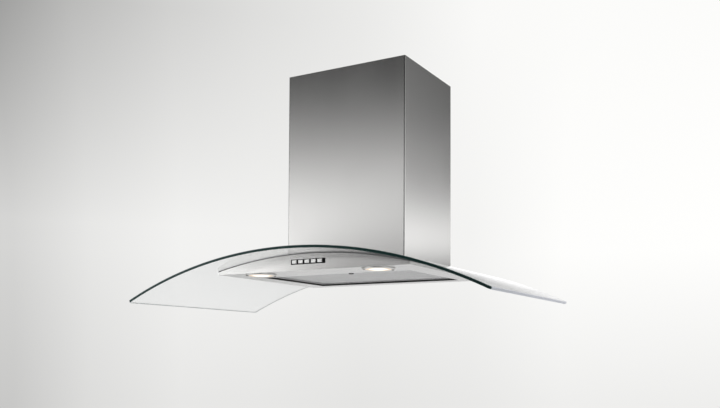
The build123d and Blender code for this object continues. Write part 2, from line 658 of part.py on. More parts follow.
def lamp_bezel(x):
    """Flat ring below the panel that holds the lens."""
    low = BODY_BOTTOM_Z - LAMP_BEZEL_HEIGHT
    ring = rod_z(LAMP_BEZEL_RADIUS, x, LAMP_Y, low, BODY_BOTTOM_Z)
    ring = chamfer(ring.edges().sort_by(Axis.Z)[0], LAMP_BEZEL_CHAMFER)
    ring -= rod_z(LAMP_LENS_RADIUS, x, LAMP_Y, low - OVERRUN, BODY_BOTTOM_Z + OVERRUN)
    for sx, sy in lamp_screw_places(x):
        ring -= rod_z(LAMP_SCREW_HOLE_RADIUS, sx, sy, low - OVERRUN, BODY_BOTTOM_Z + OVERRUN)
    return ring


def lamp_lens(x):
    """Frosted glass disc with a bevelled lower rim."""
    low = BODY_BOTTOM_Z - LAMP_BEZEL_HEIGHT
    disc = rod_z(LAMP_LENS_RADIUS, x, LAMP_Y, low, low + LAMP_LENS_THICKNESS)
    return chamfer(disc.edges().sort_by(Axis.Z)[0], LAMP_LENS_THICKNESS / 4)


def lamp_bowl(x):
    """Spun reflector above the panel with a hole for the bulb's socket."""
    base = BODY_BOTTOM_Z + BODY_SHEET
    top = base + LAMP_BOWL_HEIGHT
    wall = LAMP_BOWL_WALL
    rim = LAMP_LENS_RADIUS
    cone = Pos(x, LAMP_Y, (base + top) / 2) * Cone(rim, LAMP_BOWL_TOP_RADIUS, LAMP_BOWL_HEIGHT)
    inner = Pos(x, LAMP_Y, (base + top) / 2 - wall) * Cone(
        rim - wall, LAMP_BOWL_TOP_RADIUS - wall, LAMP_BOWL_HEIGHT
    )
    flange = rod_z(rim + LAMP_BOWL_FLANGE, x, LAMP_Y, base, base + wall)
    bowl = cone + flange
    bowl -= inner
    bowl -= rod_z(rim - wall, x, LAMP_Y, base - OVERRUN, base + wall / 2)
    return bowl - rod_z(LAMP_BULB_RADIUS, x, LAMP_Y, base, top + OVERRUN)


def lamp_bulb(x):
    """Halogen capsule that hangs from the socket through the bowl."""
    top = BODY_BOTTOM_Z + BODY_SHEET + LAMP_BOWL_HEIGHT
    bulb = rod_z(LAMP_BULB_RADIUS - LAMP_BOWL_WALL / 2, x, LAMP_Y, top - LAMP_BULB_LENGTH, top)
    return fillet(bulb.edges().sort_by(Axis.Z)[0], LAMP_BULB_RADIUS / 2)


def lamp_socket(x):
    """Ceramic socket on top of the bowl."""
    top = BODY_BOTTOM_Z + BODY_SHEET + LAMP_BOWL_HEIGHT
    half = LAMP_SOCKET_SIZE / 2
    block = slab(x - half, x + half, LAMP_Y - half, LAMP_Y + half, top, top + LAMP_SOCKET_HEIGHT)
    return fillet(block.edges().filter_by(Axis.Z), LAMP_SOCKET_HEIGHT / 3)


def lamp_screws():
    """Two small screws in each bezel, heads down."""
    low = BODY_BOTTOM_Z - LAMP_BEZEL_HEIGHT
    screws = []
    for side in (-1, 1):
        for sx, sy in lamp_screw_places(side * LAMP_X):
            screws.append(Pos(sx, sy, low) * Rot(180, 0, 0) * screw(LAMP_SCREW, LAMP_BEZEL_HEIGHT + BODY_SHEET))
    return Compound(children=screws)


# ---------------------------------------------------------------- chimney covers

def cover_sleeve(width, y_front, y_rear, z0, z1):
    """Folded cover: front, two sides and a lip along the wall on each side."""
    half = width / 2
    outer = slab(-half, half, y_front, y_rear, z0, z1)
    outer = fillet(outer.edges().filter_by(Axis.Z), COVER_BEND_RADIUS)
    inner_half = half - COVER_SHEET
    inner = slab(
        -inner_half, inner_half, y_front + COVER_SHEET, y_rear - COVER_SHEET, z0 - OVERRUN, z1 + OVERRUN
    )
    inner = fillet(inner.edges().filter_by(Axis.Z), COVER_BEND_RADIUS - COVER_SHEET)
    mouth = half - COVER_LIP
    return outer - inner - slab(-mouth, mouth, y_rear - OVERRUN, y_rear + OVERRUN, z0 - OVERRUN, z1 + OVERRUN)


def lower_cover():
    """Visible chimney cover with its foot cut to the curve of the glass."""
    sagitta = GLASS_RADIUS - sqrt(GLASS_RADIUS ** 2 - (COVER_WIDTH / 2) ** 2)
    foot = CROWN_Z - sagitta - OVERRUN
    sleeve = cover_sleeve(COVER_WIDTH, -COVER_DEPTH, COVER_LIP_Y, foot, CHIMNEY_TOP_Z)
    sleeve -= arch_core(GLASS_RADIUS + COVER_FOOT_GAP)
    for x, z in cover_screw_places():
        sleeve -= rod_y(M4_HOLE_RADIUS, x, COVER_LIP_Y - OVERRUN, COVER_LIP_Y + OVERRUN, z)
    return sleeve


def upper_cover_shift():
    """How far the upper cover lies inside the lower one."""
    return COVER_SHEET + COVER_SLIDE_GAP


def upper_cover():
    """Telescopic cover stored inside the lower one; it slides up to the ceiling."""
    shift = upper_cover_shift()
    sleeve = cover_sleeve(
        COVER_WIDTH - 2 * shift, -COVER_DEPTH + shift, UPPER_LIP_Y,
        CROWN_Z + UPPER_COVER_FOOT, CHIMNEY_TOP_Z - UPPER_COVER_INSET,
    )
    for x, z in bracket_screw_places():
        sleeve -= rod_y(M4_HOLE_RADIUS, x, UPPER_LIP_Y - OVERRUN, UPPER_LIP_Y + OVERRUN, z)
    return sleeve


def cover_screw_places():
    """The two screws that hold the lower cover to the wall plate."""
    x = (COVER_WIDTH / 2 - COVER_LIP + PLATE_WIDTH / 2) / 2
    return [(side * x, CROWN_Z + COVER_SCREW_HEIGHT) for side in (-1, 1)]


def bracket_screw_places():
    """The two screws that hold the wall bracket to the upper cover's lips."""
    x = COVER_WIDTH / 2 - upper_cover_shift() - COVER_LIP / 2
    return [(side * x, bracket_middle_z()) for side in (-1, 1)]


def bracket_middle_z():
    """Height of the wall bracket's centre line."""
    return CHIMNEY_TOP_Z - UPPER_COVER_INSET - BRACKET_DROP - BRACKET_HEIGHT / 2


def cover_bracket():
    """Cross strip with two spacers that bear on the wall, at the head of the upper cover."""
    half = COVER_WIDTH / 2 - upper_cover_shift() - COVER_BEND_RADIUS
    rear = UPPER_LIP_Y - COVER_SHEET
    front = rear - BRACKET_THICKNESS
    z = bracket_middle_z()
    strip = slab(-half, half, front, rear, z - BRACKET_HEIGHT / 2, z + BRACKET_HEIGHT / 2)
    for side in (-1, 1):
        x = side * BRACKET_HOLE_SPACING / 2
        strip += rod_y(BRACKET_BOSS_RADIUS, x, rear, 0, z)
        strip -= rod_y(BRACKET_HOLE_RADIUS, x, front - OVERRUN, OVERRUN, z)
    for x, hole_z in bracket_screw_places():
        strip -= rod_y(M4_HOLE_RADIUS, x, front - OVERRUN, OVERRUN, hole_z)
    return strip


def wall_screws_towards_y(places, head_plane, grip):
    """Screws driven towards the wall with their heads on one plane."""
    screws = [Pos(x, head_plane, z) * Rot(90, 0, 0) * screw(M4_SCREW, grip) for x, z in places]
    return Compound(children=screws)


# ---------------------------------------------------------------- wall plate and motor box

def box_screw_places():
    """Screws that hold the motor box's lips to the wall plate."""
    x = BOX_WIDTH / 2 - BOX_LIP / 2
    return [(side * x, CROWN_Z + height) for side in (-1, 1) for height in BOX_SCREW_HEIGHTS]


def back_plate():
    """Steel plate on the wall: four wall screw holes, foot cut clear of the glass."""
    half = PLATE_WIDTH / 2
    plate = slab(-half, half, -PLATE_THICKNESS, 0, CROWN_Z - 2 * OVERRUN, BOX_TOP_Z + OVERRUN)
    plate -= arch_core(GLASS_RADIUS + PLATE_THICKNESS)
    for sx in (-1, 1):
        for sz in (-1, 1):
            x = sx * WALL_HOLE_SPACING_X / 2
            z = sz * WALL_HOLE_SPACING_Z / 2
            plate -= rod_y(WALL_HOLE_RADIUS, x, -OVERRUN, OVERRUN, z)
    for x, z in box_screw_places() + cover_screw_places():
        plate -= rod_y(M4_HOLE_RADIUS, x, -OVERRUN, OVERRUN, z)
    return plate


def throat_span():
    """Front and rear of the blower's outlet."""
    return FAN_Y + SCROLL_THROAT_START, FAN_Y + THROAT_END


def collar_screw_places():
    """Four screws through collar, box and blower flange."""
    x = SCROLL_HALF_WIDTH + SCROLL_FLANGE / 2
    front, rear = throat_span()
    inset = SCROLL_FLANGE
    return [(side * x, y) for side in (-1, 1) for y in (front + inset, rear - inset)]


def motor_box():
    """Galvanised box, open below and at the wall, with lips and a curved foot."""
    half = BOX_WIDTH / 2
    inner = half - BOX_SHEET
    rear = -PLATE_THICKNESS
    low = CROWN_Z - 4 * OVERRUN
    box = slab(-half, half, BOX_FRONT_Y, rear, low, BOX_TOP_Z)
    box -= slab(-inner, inner, BOX_FRONT_Y + BOX_SHEET, rear - BOX_SHEET, low, BOX_TOP_Z - BOX_SHEET)
    mouth = half - BOX_LIP
    box -= slab(-mouth, mouth, rear - 2 * BOX_SHEET, rear + OVERRUN, low, BOX_TOP_Z - BOX_SHEET)
    box -= arch_core(FOOT_RADIUS)
    reach = half + FOOT_WIDTH
    foot = arch_sheet(
        FOOT_RADIUS, FOOT_RADIUS + FOOT_THICKNESS, -reach, reach, BOX_FRONT_Y - FOOT_FRONT, FOOT_REAR_Y
    )
    foot -= slab(-inner, inner, BOX_FRONT_Y + BOX_SHEET, OVERRUN, low, BOX_TOP_Z)
    box += drill_arch(foot, GLASS_BOLT_RADIUS, FOOT_RADIUS, FOOT_RADIUS + FOOT_THICKNESS)
    front, back = throat_span()
    throat = SCROLL_HALF_WIDTH - SCROLL_WALL
    box -= slab(
        -throat, throat, front + SCROLL_WALL, back - SCROLL_WALL, BOX_TOP_Z - OVERRUN, BOX_TOP_Z + OVERRUN
    )
    for x, y in collar_screw_places():
        box -= rod_z(M4_HOLE_RADIUS, x, y, BOX_TOP_Z - OVERRUN, BOX_TOP_Z + OVERRUN)
    box -= rod_z(GLAND_THREAD_RADIUS, GLAND_X, GLAND_Y, BOX_TOP_Z - OVERRUN, BOX_TOP_Z + OVERRUN)
    for x, z in box_screw_places():
        box -= rod_y(M4_HOLE_RADIUS, x, rear - OVERRUN, rear + OVERRUN, z)
    return box


# ---------------------------------------------------------------- blower

def scroll_outline(inset):
    """Scroll section: three quarter arcs of growing radius, then a straight throat."""
    r1, r2, r3 = [r - inset for r in SCROLL_RADII]
    left = -SCROLL_FRONT + inset
    c1 = left + r1
    c2 = left + r2
    level = SCROLL_OFFSET
    bottom = level - r2
    right_level = bottom + r3
    throat_start = SCROLL_THROAT_START + inset
    throat_end = c2 + r3
    top = level + r1

    def point(u, v):
        return (0, FAN_Y + u, FAN_Z + v)

    def quarter(cu, cv, radius, start):
        angles = [radians(start + step) for step in (0, 45, 90)]
        return ThreePointArc(*[point(cu + radius * cos(a), cv + radius * sin(a)) for a in angles])

    tongue = throat_start - SCROLL_TONGUE
    return make_face([
        quarter(c1, level, r1, 90),
        quarter(c2, level, r2, 180),
        quarter(c2, right_level, r3, 270),
        Line(point(throat_end, right_level), point(throat_end, SCROLL_TOP)),
        Line(point(throat_end, SCROLL_TOP), point(throat_start, SCROLL_TOP)),
        Line(point(throat_start, SCROLL_TOP), point(throat_start, top + SCROLL_TONGUE)),
        Line(point(throat_start, top + SCROLL_TONGUE), point(tongue, top)),
        Line(point(tongue, top), point(c1, top)),
    ])


def scroll_body():
    """Whole blower housing before it is split down the middle."""
    half = SCROLL_HALF_WIDTH
    inner = half - SCROLL_WALL
    outer = extrude(scroll_outline(0), amount=half, dir=(1, 0, 0), both=True)
    front, rear = throat_span()
    flange = slab(
        -half - SCROLL_FLANGE, half + SCROLL_FLANGE, front - SCROLL_FLANGE, rear + SCROLL_FLANGE,
        FAN_Z + SCROLL_TOP - SCROLL_FLANGE_THICKNESS, FAN_Z + SCROLL_TOP,
    )
    body = outer + flange
    body -= extrude(scroll_outline(SCROLL_WALL), amount=inner, dir=(1, 0, 0), both=True)
    body -= slab(
        -inner, inner, front + SCROLL_WALL, rear - SCROLL_WALL, FAN_Z + SCROLL_TOP - OVERRUN,
        FAN_Z + SCROLL_TOP + OVERRUN,
    )
    body -= rod_x(SCROLL_INLET_RADIUS, -half - OVERRUN, half + OVERRUN, FAN_Y, FAN_Z)
    for x, y in collar_screw_places():
        body -= rod_z(M4_HOLE_RADIUS, x, y, BOX_TOP_Z - 2 * OVERRUN, BOX_TOP_Z)
    for y, z in arm_screw_places():
        body -= rod_x(M4_HOLE_RADIUS, inner - OVERRUN, half + OVERRUN, y, z)
    return body


def scroll_half(side):
    """Left (-1) or right (+1) half of the blower housing."""
    reach = 2 * SCROLL_HALF_WIDTH
    x0, x1 = sorted((0, side * reach))
    return scroll_body() & slab(x0, x1, FAN_Y - reach, FAN_Y + reach, FAN_Z - reach, FAN_Z + reach)


def blade_section():
    """Forward-curved blade of the fan, in the plane of the fan."""
    tip = IMPELLER_RADIUS
    root = IMPELLER_RADIUS - IMPELLER_BLADE_DEPTH
    belly = IMPELLER_BLADE_DEPTH / 4
    thick = IMPELLER_BLADE_THICKNESS
    middle = (tip + root) / 2
    return make_face([
        ThreePointArc((root, 0), (middle, -belly), (tip - thick, 0)),
        Line((tip - thick, 0), (tip - thick, thick)),
        ThreePointArc((tip - thick, thick), (middle, thick - belly), (root, thick)),
        Line((root, thick), (root, 0)),
    ])


def impeller():
    """Double-inlet fan: centre plate, hub, two end rings and forward-curved blades."""
    half = IMPELLER_HALF_WIDTH
    plate = IMPELLER_PLATE
    root = IMPELLER_RADIUS - IMPELLER_BLADE_DEPTH
    blade = Pos(0, 0, -half) * extrude(blade_section(), 2 * half)
    wheel = Cylinder(IMPELLER_RADIUS, plate)
    wheel += Pos(0, 0, plate - HUB_LENGTH / 2) * Cylinder(HUB_RADIUS, HUB_LENGTH)
    for side in (-1, 1):
        ring = Cylinder(IMPELLER_RADIUS, plate) - Cylinder(root, 2 * plate)
        wheel += Pos(0, 0, side * (half - plate / 2)) * ring
    wheel += [Rot(0, 0, i * 360 / IMPELLER_BLADES) * blade for i in range(IMPELLER_BLADES)]
    wheel -= Cylinder(SHAFT_RADIUS, 4 * HUB_LENGTH)
    return Pos(0, FAN_Y, FAN_Z) * Rot(0, 90, 0) * wheel


def impeller_shaft():
    """Motor shaft, pressed into the hub."""
    return rod_x(SHAFT_RADIUS, IMPELLER_PLATE - HUB_LENGTH, MOTOR_END - OVERRUN, FAN_Y, FAN_Z)


def motor():
    """Closed motor inside one side of the fan, with its rear boss on the bracket."""
    can = rod_x(MOTOR_RADIUS, MOTOR_START, MOTOR_END, FAN_Y, FAN_Z)
    can = fillet(can.edges().filter_by(GeomType.CIRCLE), MOTOR_FILLET)
    can += rod_x(MOTOR_BOSS_RADIUS, MOTOR_END, SCROLL_HALF_WIDTH, FAN_Y, FAN_Z)
    bore_end = MOTOR_END - OVERRUN + BUTTON_GAP
    return can - rod_x(SHAFT_RADIUS + PIN_CLEARANCE, MOTOR_START - OVERRUN, bore_end, FAN_Y, FAN_Z)


def arm_angles():
    """Directions of the motor bracket's arms."""
    return [90 + i * 360 / ARM_COUNT for i in range(ARM_COUNT)]


def arm_screw_places():
    """Screws at the tips of the bracket's arms."""
    places = []
    for angle in arm_angles():
        places.append((
            FAN_Y + ARM_SCREW_CIRCLE * cos(radians(angle)),
            FAN_Z + ARM_SCREW_CIRCLE * sin(radians(angle)),
        ))
    return places


def motor_bracket():
    """Three-armed spider that holds the motor in the blower's right inlet."""
    spider = Cylinder(MOTOR_RADIUS / 2 + MOTOR_FILLET, ARM_THICKNESS)
    reach = ARM_SCREW_CIRCLE + ARM_WIDTH / 2 - BOX_SHEET
    for angle in arm_angles():
        arm = Pos(reach / 2, 0, 0) * Box(reach, ARM_WIDTH, ARM_THICKNESS)
        spider += Rot(0, 0, angle) * arm
    frame = Plane(
        origin=(SCROLL_HALF_WIDTH + ARM_THICKNESS / 2, FAN_Y, FAN_Z), x_dir=(0, 1, 0), z_dir=(1, 0, 0)
    )
    spider = frame * spider
    for y, z in arm_screw_places():
        spider -= rod_x(M4_HOLE_RADIUS, SCROLL_HALF_WIDTH - OVERRUN, SCROLL_HALF_WIDTH + OVERRUN, y, z)
    return spider


def motor_screws():
    """Three screws through the bracket's arms."""
    head_plane = SCROLL_HALF_WIDTH + ARM_THICKNESS
    grip = ARM_THICKNESS + SCROLL_WALL
    screws = [Pos(head_plane, y, z) * Rot(0, 90, 0) * screw(M4_SCREW, grip) for y, z in arm_screw_places()]
    return Compound(children=screws)


# ---------------------------------------------------------------- outlet collar and damper

def adapter_loft(inset):
    """Solid that changes from the blower's rectangular throat to the round duct."""
    front, rear = throat_span()
    width = 2 * (SCROLL_HALF_WIDTH - inset)
    base = Pos(0, (front + rear) / 2, BOX_TOP_Z) * Rectangle(width, rear - front - 2 * inset)
    ring = Pos(0, COLLAR_Y, COLLAR_BASE_Z) * Circle(COLLAR_RADIUS - inset)
    return loft([base, ring])


def outlet_collar():
    """Flange, adapter and round collar with a ledge that the damper flaps rest on."""
    front, rear = throat_span()
    reach = SCROLL_HALF_WIDTH + SCROLL_FLANGE
    collar = slab(
        -reach, reach, front - SCROLL_FLANGE, rear + SCROLL_FLANGE,
        BOX_TOP_Z, BOX_TOP_Z + COLLAR_FLANGE_THICKNESS,
    )
    top = COLLAR_BASE_Z + COLLAR_LENGTH
    collar += adapter_loft(0)
    collar += rod_z(COLLAR_RADIUS, 0, COLLAR_Y, COLLAR_BASE_Z, top)
    collar -= adapter_loft(COLLAR_WALL)
    bore = COLLAR_RADIUS - COLLAR_WALL
    collar -= rod_z(bore, 0, COLLAR_Y, COLLAR_BASE_Z, top + OVERRUN)
    ledge_top = DAMPER_Z - DAMPER_THICKNESS / 2 - BUTTON_GAP
    ledge = rod_z(bore, 0, COLLAR_Y, ledge_top - COLLAR_WALL, ledge_top)
    ledge -= rod_z(bore - COLLAR_LEDGE, 0, COLLAR_Y, ledge_top - OVERRUN, ledge_top + OVERRUN)
    collar += ledge
    collar -= rod_x(DAMPER_PIN_RADIUS, -damper_pin_half(), damper_pin_half(), COLLAR_Y, DAMPER_Z)
    for x, y in collar_screw_places():
        collar -= rod_z(M4_HOLE_RADIUS, x, y, BOX_TOP_Z - OVERRUN, BOX_TOP_Z + OVERRUN)
    return collar


def damper_pin_half():
    """Half length of the damper's pin, just inside the collar's outer face."""
    return COLLAR_RADIUS - COLLAR_WALL / 4


def damper_pin():
    """Pin across the collar that both flaps turn on."""
    return rod_x(DAMPER_PIN_RADIUS, -damper_pin_half(), damper_pin_half(), COLLAR_Y, DAMPER_Z)


def damper_flap(side):
    """Half-round flap on every second knuckle; side -1 opens at the front, +1 at the rear."""
    bore = COLLAR_RADIUS - COLLAR_WALL - DAMPER_EDGE_GAP
    low = DAMPER_Z - DAMPER_THICKNESS / 2
    high = DAMPER_Z + DAMPER_THICKNESS / 2
    disc = rod_z(bore, 0, COLLAR_Y, low, high)
    root = sorted((COLLAR_Y + side * DAMPER_KNUCKLE_RADIUS, COLLAR_Y + side * 2 * bore))
    flap = disc & slab(-bore, bore, root[0], root[1], low, high)
    span = 2 * (bore - DAMPER_KNUCKLE_RADIUS) / (2 * DAMPER_KNUCKLES)
    first = 0 if side < 0 else 1
    start = -DAMPER_KNUCKLES * span
    gap = DAMPER_KNUCKLE_GAP / 2
    for i in range(2 * DAMPER_KNUCKLES):
        x0 = start + i * span + gap
        x1 = x0 + span - 2 * gap
        if i % 2 == first:
            flap += rod_x(DAMPER_KNUCKLE_RADIUS, x0, x1, COLLAR_Y, DAMPER_Z)
            web = sorted((COLLAR_Y, COLLAR_Y + side * 2 * DAMPER_KNUCKLE_RADIUS))
            flap += slab(x0, x1, web[0], web[1], low, high)
        else:
            notch = rod_x(DAMPER_KNUCKLE_RADIUS + 2 * gap, x0 - 2 * gap, x1 + 2 * gap, COLLAR_Y, DAMPER_Z)
            flap -= notch
    return flap - rod_x(DAMPER_PIN_RADIUS + PIN_CLEARANCE, -2 * bore, 2 * bore, COLLAR_Y, DAMPER_Z)


def collar_screws():
    """Four screws through the collar's flange, the box and the blower's flange."""
    head_plane = BOX_TOP_Z + COLLAR_FLANGE_THICKNESS
    grip = COLLAR_FLANGE_THICKNESS + BOX_SHEET + SCROLL_FLANGE_THICKNESS
    screws = [Pos(x, y, head_plane) * screw(M4_SCREW, grip) for x, y in collar_screw_places()]
    return Compound(children=screws)


# ---------------------------------------------------------------- electrical pieces

def terminal_box():
    """Terminal box on the inside of the motor box's front wall."""
    width, depth, height = TERMINAL_BOX_SIZE
    wall = BOX_FRONT_Y + BOX_SHEET
    z = CROWN_Z + TERMINAL_BOX_HEIGHT
    box = slab(
        TERMINAL_BOX_X - width / 2, TERMINAL_BOX_X + width / 2, wall, wall + depth,
        z - height / 2, z + height / 2,
    )
    return fillet(box.edges().filter_by(Axis.Y), 2 * BOX_SHEET)


def capacitor():
    """Motor capacitor against the left wall of the motor box."""
    x = -BOX_WIDTH / 2 + BOX_SHEET + CAPACITOR_RADIUS
    z = CROWN_Z + CAPACITOR_HEIGHT
    can = rod_z(CAPACITOR_RADIUS, x, CAPACITOR_Y, z - CAPACITOR_LENGTH / 2, z + CAPACITOR_LENGTH / 2)
    return fillet(can.edges().filter_by(GeomType.CIRCLE), 2 * BOX_SHEET)


def cable_gland():
    """Gland in the roof of the motor box: nut below, hexagon and dome above."""
    above = extrude(RegularPolygon(GLAND_NUT_RADIUS, 6), GLAND_NUT_HEIGHT)
    dome = Pos(0, 0, (GLAND_NUT_HEIGHT + GLAND_DOME_HEIGHT) / 2) * Cylinder(
        GLAND_DOME_RADIUS, GLAND_DOME_HEIGHT - GLAND_NUT_HEIGHT
    )
    dome = fillet(dome.edges().sort_by(Axis.Z)[-1], GLAND_NUT_HEIGHT / 2)
    tail = BOX_SHEET + GLAND_NUT_HEIGHT
    gland = above + dome + Pos(0, 0, -tail / 2) * Cylinder(GLAND_THREAD_RADIUS, tail)
    gland += Pos(0, 0, -BOX_SHEET) * extrude(RegularPolygon(GLAND_NUT_RADIUS, 6), -GLAND_NUT_HEIGHT)
    gland -= Cylinder(GLAND_BORE_RADIUS, 4 * GLAND_DOME_HEIGHT)
    return Pos(GLAND_X, GLAND_Y, BOX_TOP_Z) * gland


def lamp_transformer():
    """Low-voltage transformer on the underside panel, beside the left lamp and behind the switch bank."""
    width, depth, height = TRANSFORMER_SIZE
    low = BODY_BOTTOM_Z + BODY_SHEET
    block = slab(
        TRANSFORMER_X - width / 2, TRANSFORMER_X + width / 2,
        TRANSFORMER_Y - depth / 2, TRANSFORMER_Y + depth / 2, low, low + height,
    )
    return fillet(block.edges().filter_by(Axis.Z), 2 * BODY_SHEET)


# ---------------------------------------------------------------- writing the sub-parts

def main():
    os.makedirs("parts", exist_ok=True)
    save("glass_canopy", glass_canopy())
    save("edge_seal", edge_seal())
    save("lower_clamp_seal", clamp_seal(BODY_TOP_RADIUS, GLASS_UNDER_RADIUS))
    save("upper_clamp_seal", clamp_seal(GLASS_RADIUS, FOOT_RADIUS))
    bolts, nuts, bushes = glass_fixings()
    save("glass_bolts", bolts)
    save("glass_nuts", nuts)
    save("glass_bushes", bushes)
    save("body_shell", body_shell())
    save("underside_panel", underside_panel())
    save("filter_frame", filter_frame())
    save("filter_mesh", filter_mesh())
    save("filter_pins", filter_pins())
    save("filter_latch", filter_latch())
    save("button_bezel", button_bezel())
    save("switch_block", switch_block())
    for name, x in button_places():
        save(name, button(x))
    for side, hand in ((-1, "left"), (1, "right")):
        x = side * LAMP_X
        save(f"lamp_bezel_{hand}", lamp_bezel(x))
        save(f"lamp_lens_{hand}", lamp_lens(x))
        save(f"lamp_bowl_{hand}", lamp_bowl(x))
        save(f"lamp_bulb_{hand}", lamp_bulb(x))
        save(f"lamp_socket_{hand}", lamp_socket(x))
        save(f"scroll_{hand}", scroll_half(side))
    save("lamp_screws", lamp_screws())
    save("lamp_transformer", lamp_transformer())
    save("lower_cover", lower_cover())
    save("upper_cover", upper_cover())
    save("cover_bracket", cover_bracket())
    save("back_plate", back_plate())
    save("motor_box", motor_box())
    cover_grip = COVER_SHEET + PLATE_THICKNESS
    save("cover_screws", wall_screws_towards_y(cover_screw_places(), COVER_LIP_Y - COVER_SHEET, cover_grip))
    bracket_plane = UPPER_LIP_Y - COVER_SHEET - BRACKET_THICKNESS
    bracket_grip = COVER_SHEET + BRACKET_THICKNESS
    save("bracket_screws", wall_screws_towards_y(bracket_screw_places(), bracket_plane, bracket_grip))
    box_plane = -PLATE_THICKNESS - BOX_SHEET
    save("box_screws", wall_screws_towards_y(box_screw_places(), box_plane, -box_plane))
    save("impeller", impeller())
    save("impeller_shaft", impeller_shaft())
    save("motor", motor())
    save("motor_bracket", motor_bracket())
    save("motor_screws", motor_screws())
    save("outlet_collar", outlet_collar())
    save("collar_screws", collar_screws())
    save("damper_pin", damper_pin())
    save("damper_flap_front", damper_flap(-1))
    save("damper_flap_rear", damper_flap(1))
    save("terminal_box", terminal_box())
    save("capacitor", capacitor())
    save("cable_gland", cable_gland())


main()
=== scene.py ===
# %% [markdown]
# # A curved-glass chimney hood, finished in Blender
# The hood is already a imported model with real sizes: covers, blower, filter, lamps and buttons.
# Here every visible surface gets its finish, and the pieces that need finer shape than the
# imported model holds, the bent glass and the grease mesh, are made again in the same place.
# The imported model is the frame: it is loaded first and nothing in it is ever moved.

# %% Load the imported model
import math

import bpy
from mathutils import Matrix, Vector


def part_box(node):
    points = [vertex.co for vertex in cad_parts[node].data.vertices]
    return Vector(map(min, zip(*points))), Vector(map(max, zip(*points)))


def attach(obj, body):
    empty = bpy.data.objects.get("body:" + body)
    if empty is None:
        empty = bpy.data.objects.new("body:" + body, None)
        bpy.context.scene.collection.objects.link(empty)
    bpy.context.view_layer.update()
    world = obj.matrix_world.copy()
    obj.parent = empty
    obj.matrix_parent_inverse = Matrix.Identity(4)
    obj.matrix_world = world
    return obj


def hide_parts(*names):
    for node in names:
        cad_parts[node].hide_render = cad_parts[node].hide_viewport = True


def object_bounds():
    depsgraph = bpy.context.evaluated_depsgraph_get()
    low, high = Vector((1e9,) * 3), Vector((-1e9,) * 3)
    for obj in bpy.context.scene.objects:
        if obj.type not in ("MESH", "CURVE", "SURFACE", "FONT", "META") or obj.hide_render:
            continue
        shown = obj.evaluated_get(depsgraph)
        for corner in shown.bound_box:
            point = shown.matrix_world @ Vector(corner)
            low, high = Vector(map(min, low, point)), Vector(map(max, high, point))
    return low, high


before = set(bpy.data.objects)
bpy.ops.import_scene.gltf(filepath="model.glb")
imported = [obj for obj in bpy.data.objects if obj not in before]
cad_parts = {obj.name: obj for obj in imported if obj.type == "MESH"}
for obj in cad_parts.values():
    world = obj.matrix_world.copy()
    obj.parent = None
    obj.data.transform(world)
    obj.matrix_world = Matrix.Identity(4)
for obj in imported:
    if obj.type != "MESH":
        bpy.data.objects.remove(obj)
cad_low, cad_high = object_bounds()
scene = bpy.context.scene
print("box in mm:", [round(1000 * v) for v in cad_low], [round(1000 * v) for v in cad_high])

# %% [markdown]
# ## Small helpers for node trees
# A finish and a geometry tree are both built from nodes and links. One helper adds a node,
# sets its options and fills its inputs, either with a number or with another node's output,
# so that each later line reads as one step of the recipe.


# %% Helpers: nodes, links and groups
def add(tree, kind, inputs=None, **options):
    """Adds one node to a tree; inputs maps a socket name or number to a value or an output."""
    made = tree.nodes.new(kind)
    for option, value in options.items():
        setattr(made, option, value)
    for key, value in (inputs or {}).items():
        if isinstance(value, bpy.types.NodeSocket):
            tree.links.new(value, made.inputs[key])
        else:
            made.inputs[key].default_value = value
    return made


def math_node(tree, operation, first, second=0.0):
    """One arithmetic step; returns its output."""
    return add(tree, "ShaderNodeMath", {0: first, 1: second}, operation=operation).outputs[0]


def vector_node(tree, operation, first, second):
    """One vector step; returns its output."""
    return add(tree, "ShaderNodeVectorMath", {0: first, 1: second}, operation=operation).outputs[0]


def combine_node(tree, x=0.0, y=0.0, z=0.0):
    """A vector from three values; returns its output."""
    return add(tree, "ShaderNodeCombineXYZ", {0: x, 1: y, 2: z}).outputs[0]


def separate_node(tree, vector):
    """The three parts of a vector, as three outputs."""
    return add(tree, "ShaderNodeSeparateXYZ", {0: vector}).outputs


def noise_node(tree, place, scale, detail=2.0):
    """Cloudy noise from 0 to 1 at a place; returns its output."""
    return add(tree, "ShaderNodeTexNoise", {"Vector": place, "Scale": scale, "Detail": detail}).outputs[0]


def span_node(tree, value, low, high, new_low, new_high, smooth=False):
    """Maps one range of values onto another, held at both ends."""
    kind = "SMOOTHSTEP" if smooth else "LINEAR"
    inputs = {"Value": value, "From Min": low, "From Max": high, "To Min": new_low, "To Max": new_high}
    return add(tree, "ShaderNodeMapRange", inputs, interpolation_type=kind).outputs["Result"]


def tint_node(tree, factor, first, second):
    """Mixes two colours by a factor; returns the colour."""
    made = add(tree, "ShaderNodeMix", data_type="RGBA")
    for index, value in ((0, factor), (6, first), (7, second)):
        if isinstance(value, bpy.types.NodeSocket):
            tree.links.new(value, made.inputs[index])
        else:
            made.inputs[index].default_value = value
    return made.outputs[2]


def opaque(colour, level=1.0):
    """A colour of three parts, dimmed to a level, with full cover."""
    return (colour[0] * level, colour[1] * level, colour[2] * level, 1.0)


def gray(level):
    """A neutral colour of one level."""
    return opaque((level, level, level))


def new_tree(name, kind, inputs, outputs):
    """A node group with named inputs (name, type, default) and outputs (name, type)."""
    tree = bpy.data.node_groups.new(name, kind)
    for label, socket_type, default in inputs:
        socket = tree.interface.new_socket(label, in_out="INPUT", socket_type=socket_type)
        if default is not None:
            socket.default_value = default
    for label, socket_type in outputs:
        tree.interface.new_socket(label, in_out="OUTPUT", socket_type=socket_type)
    return tree, tree.nodes.new("NodeGroupInput").outputs, tree.nodes.new("NodeGroupOutput").inputs


print("helpers ready")

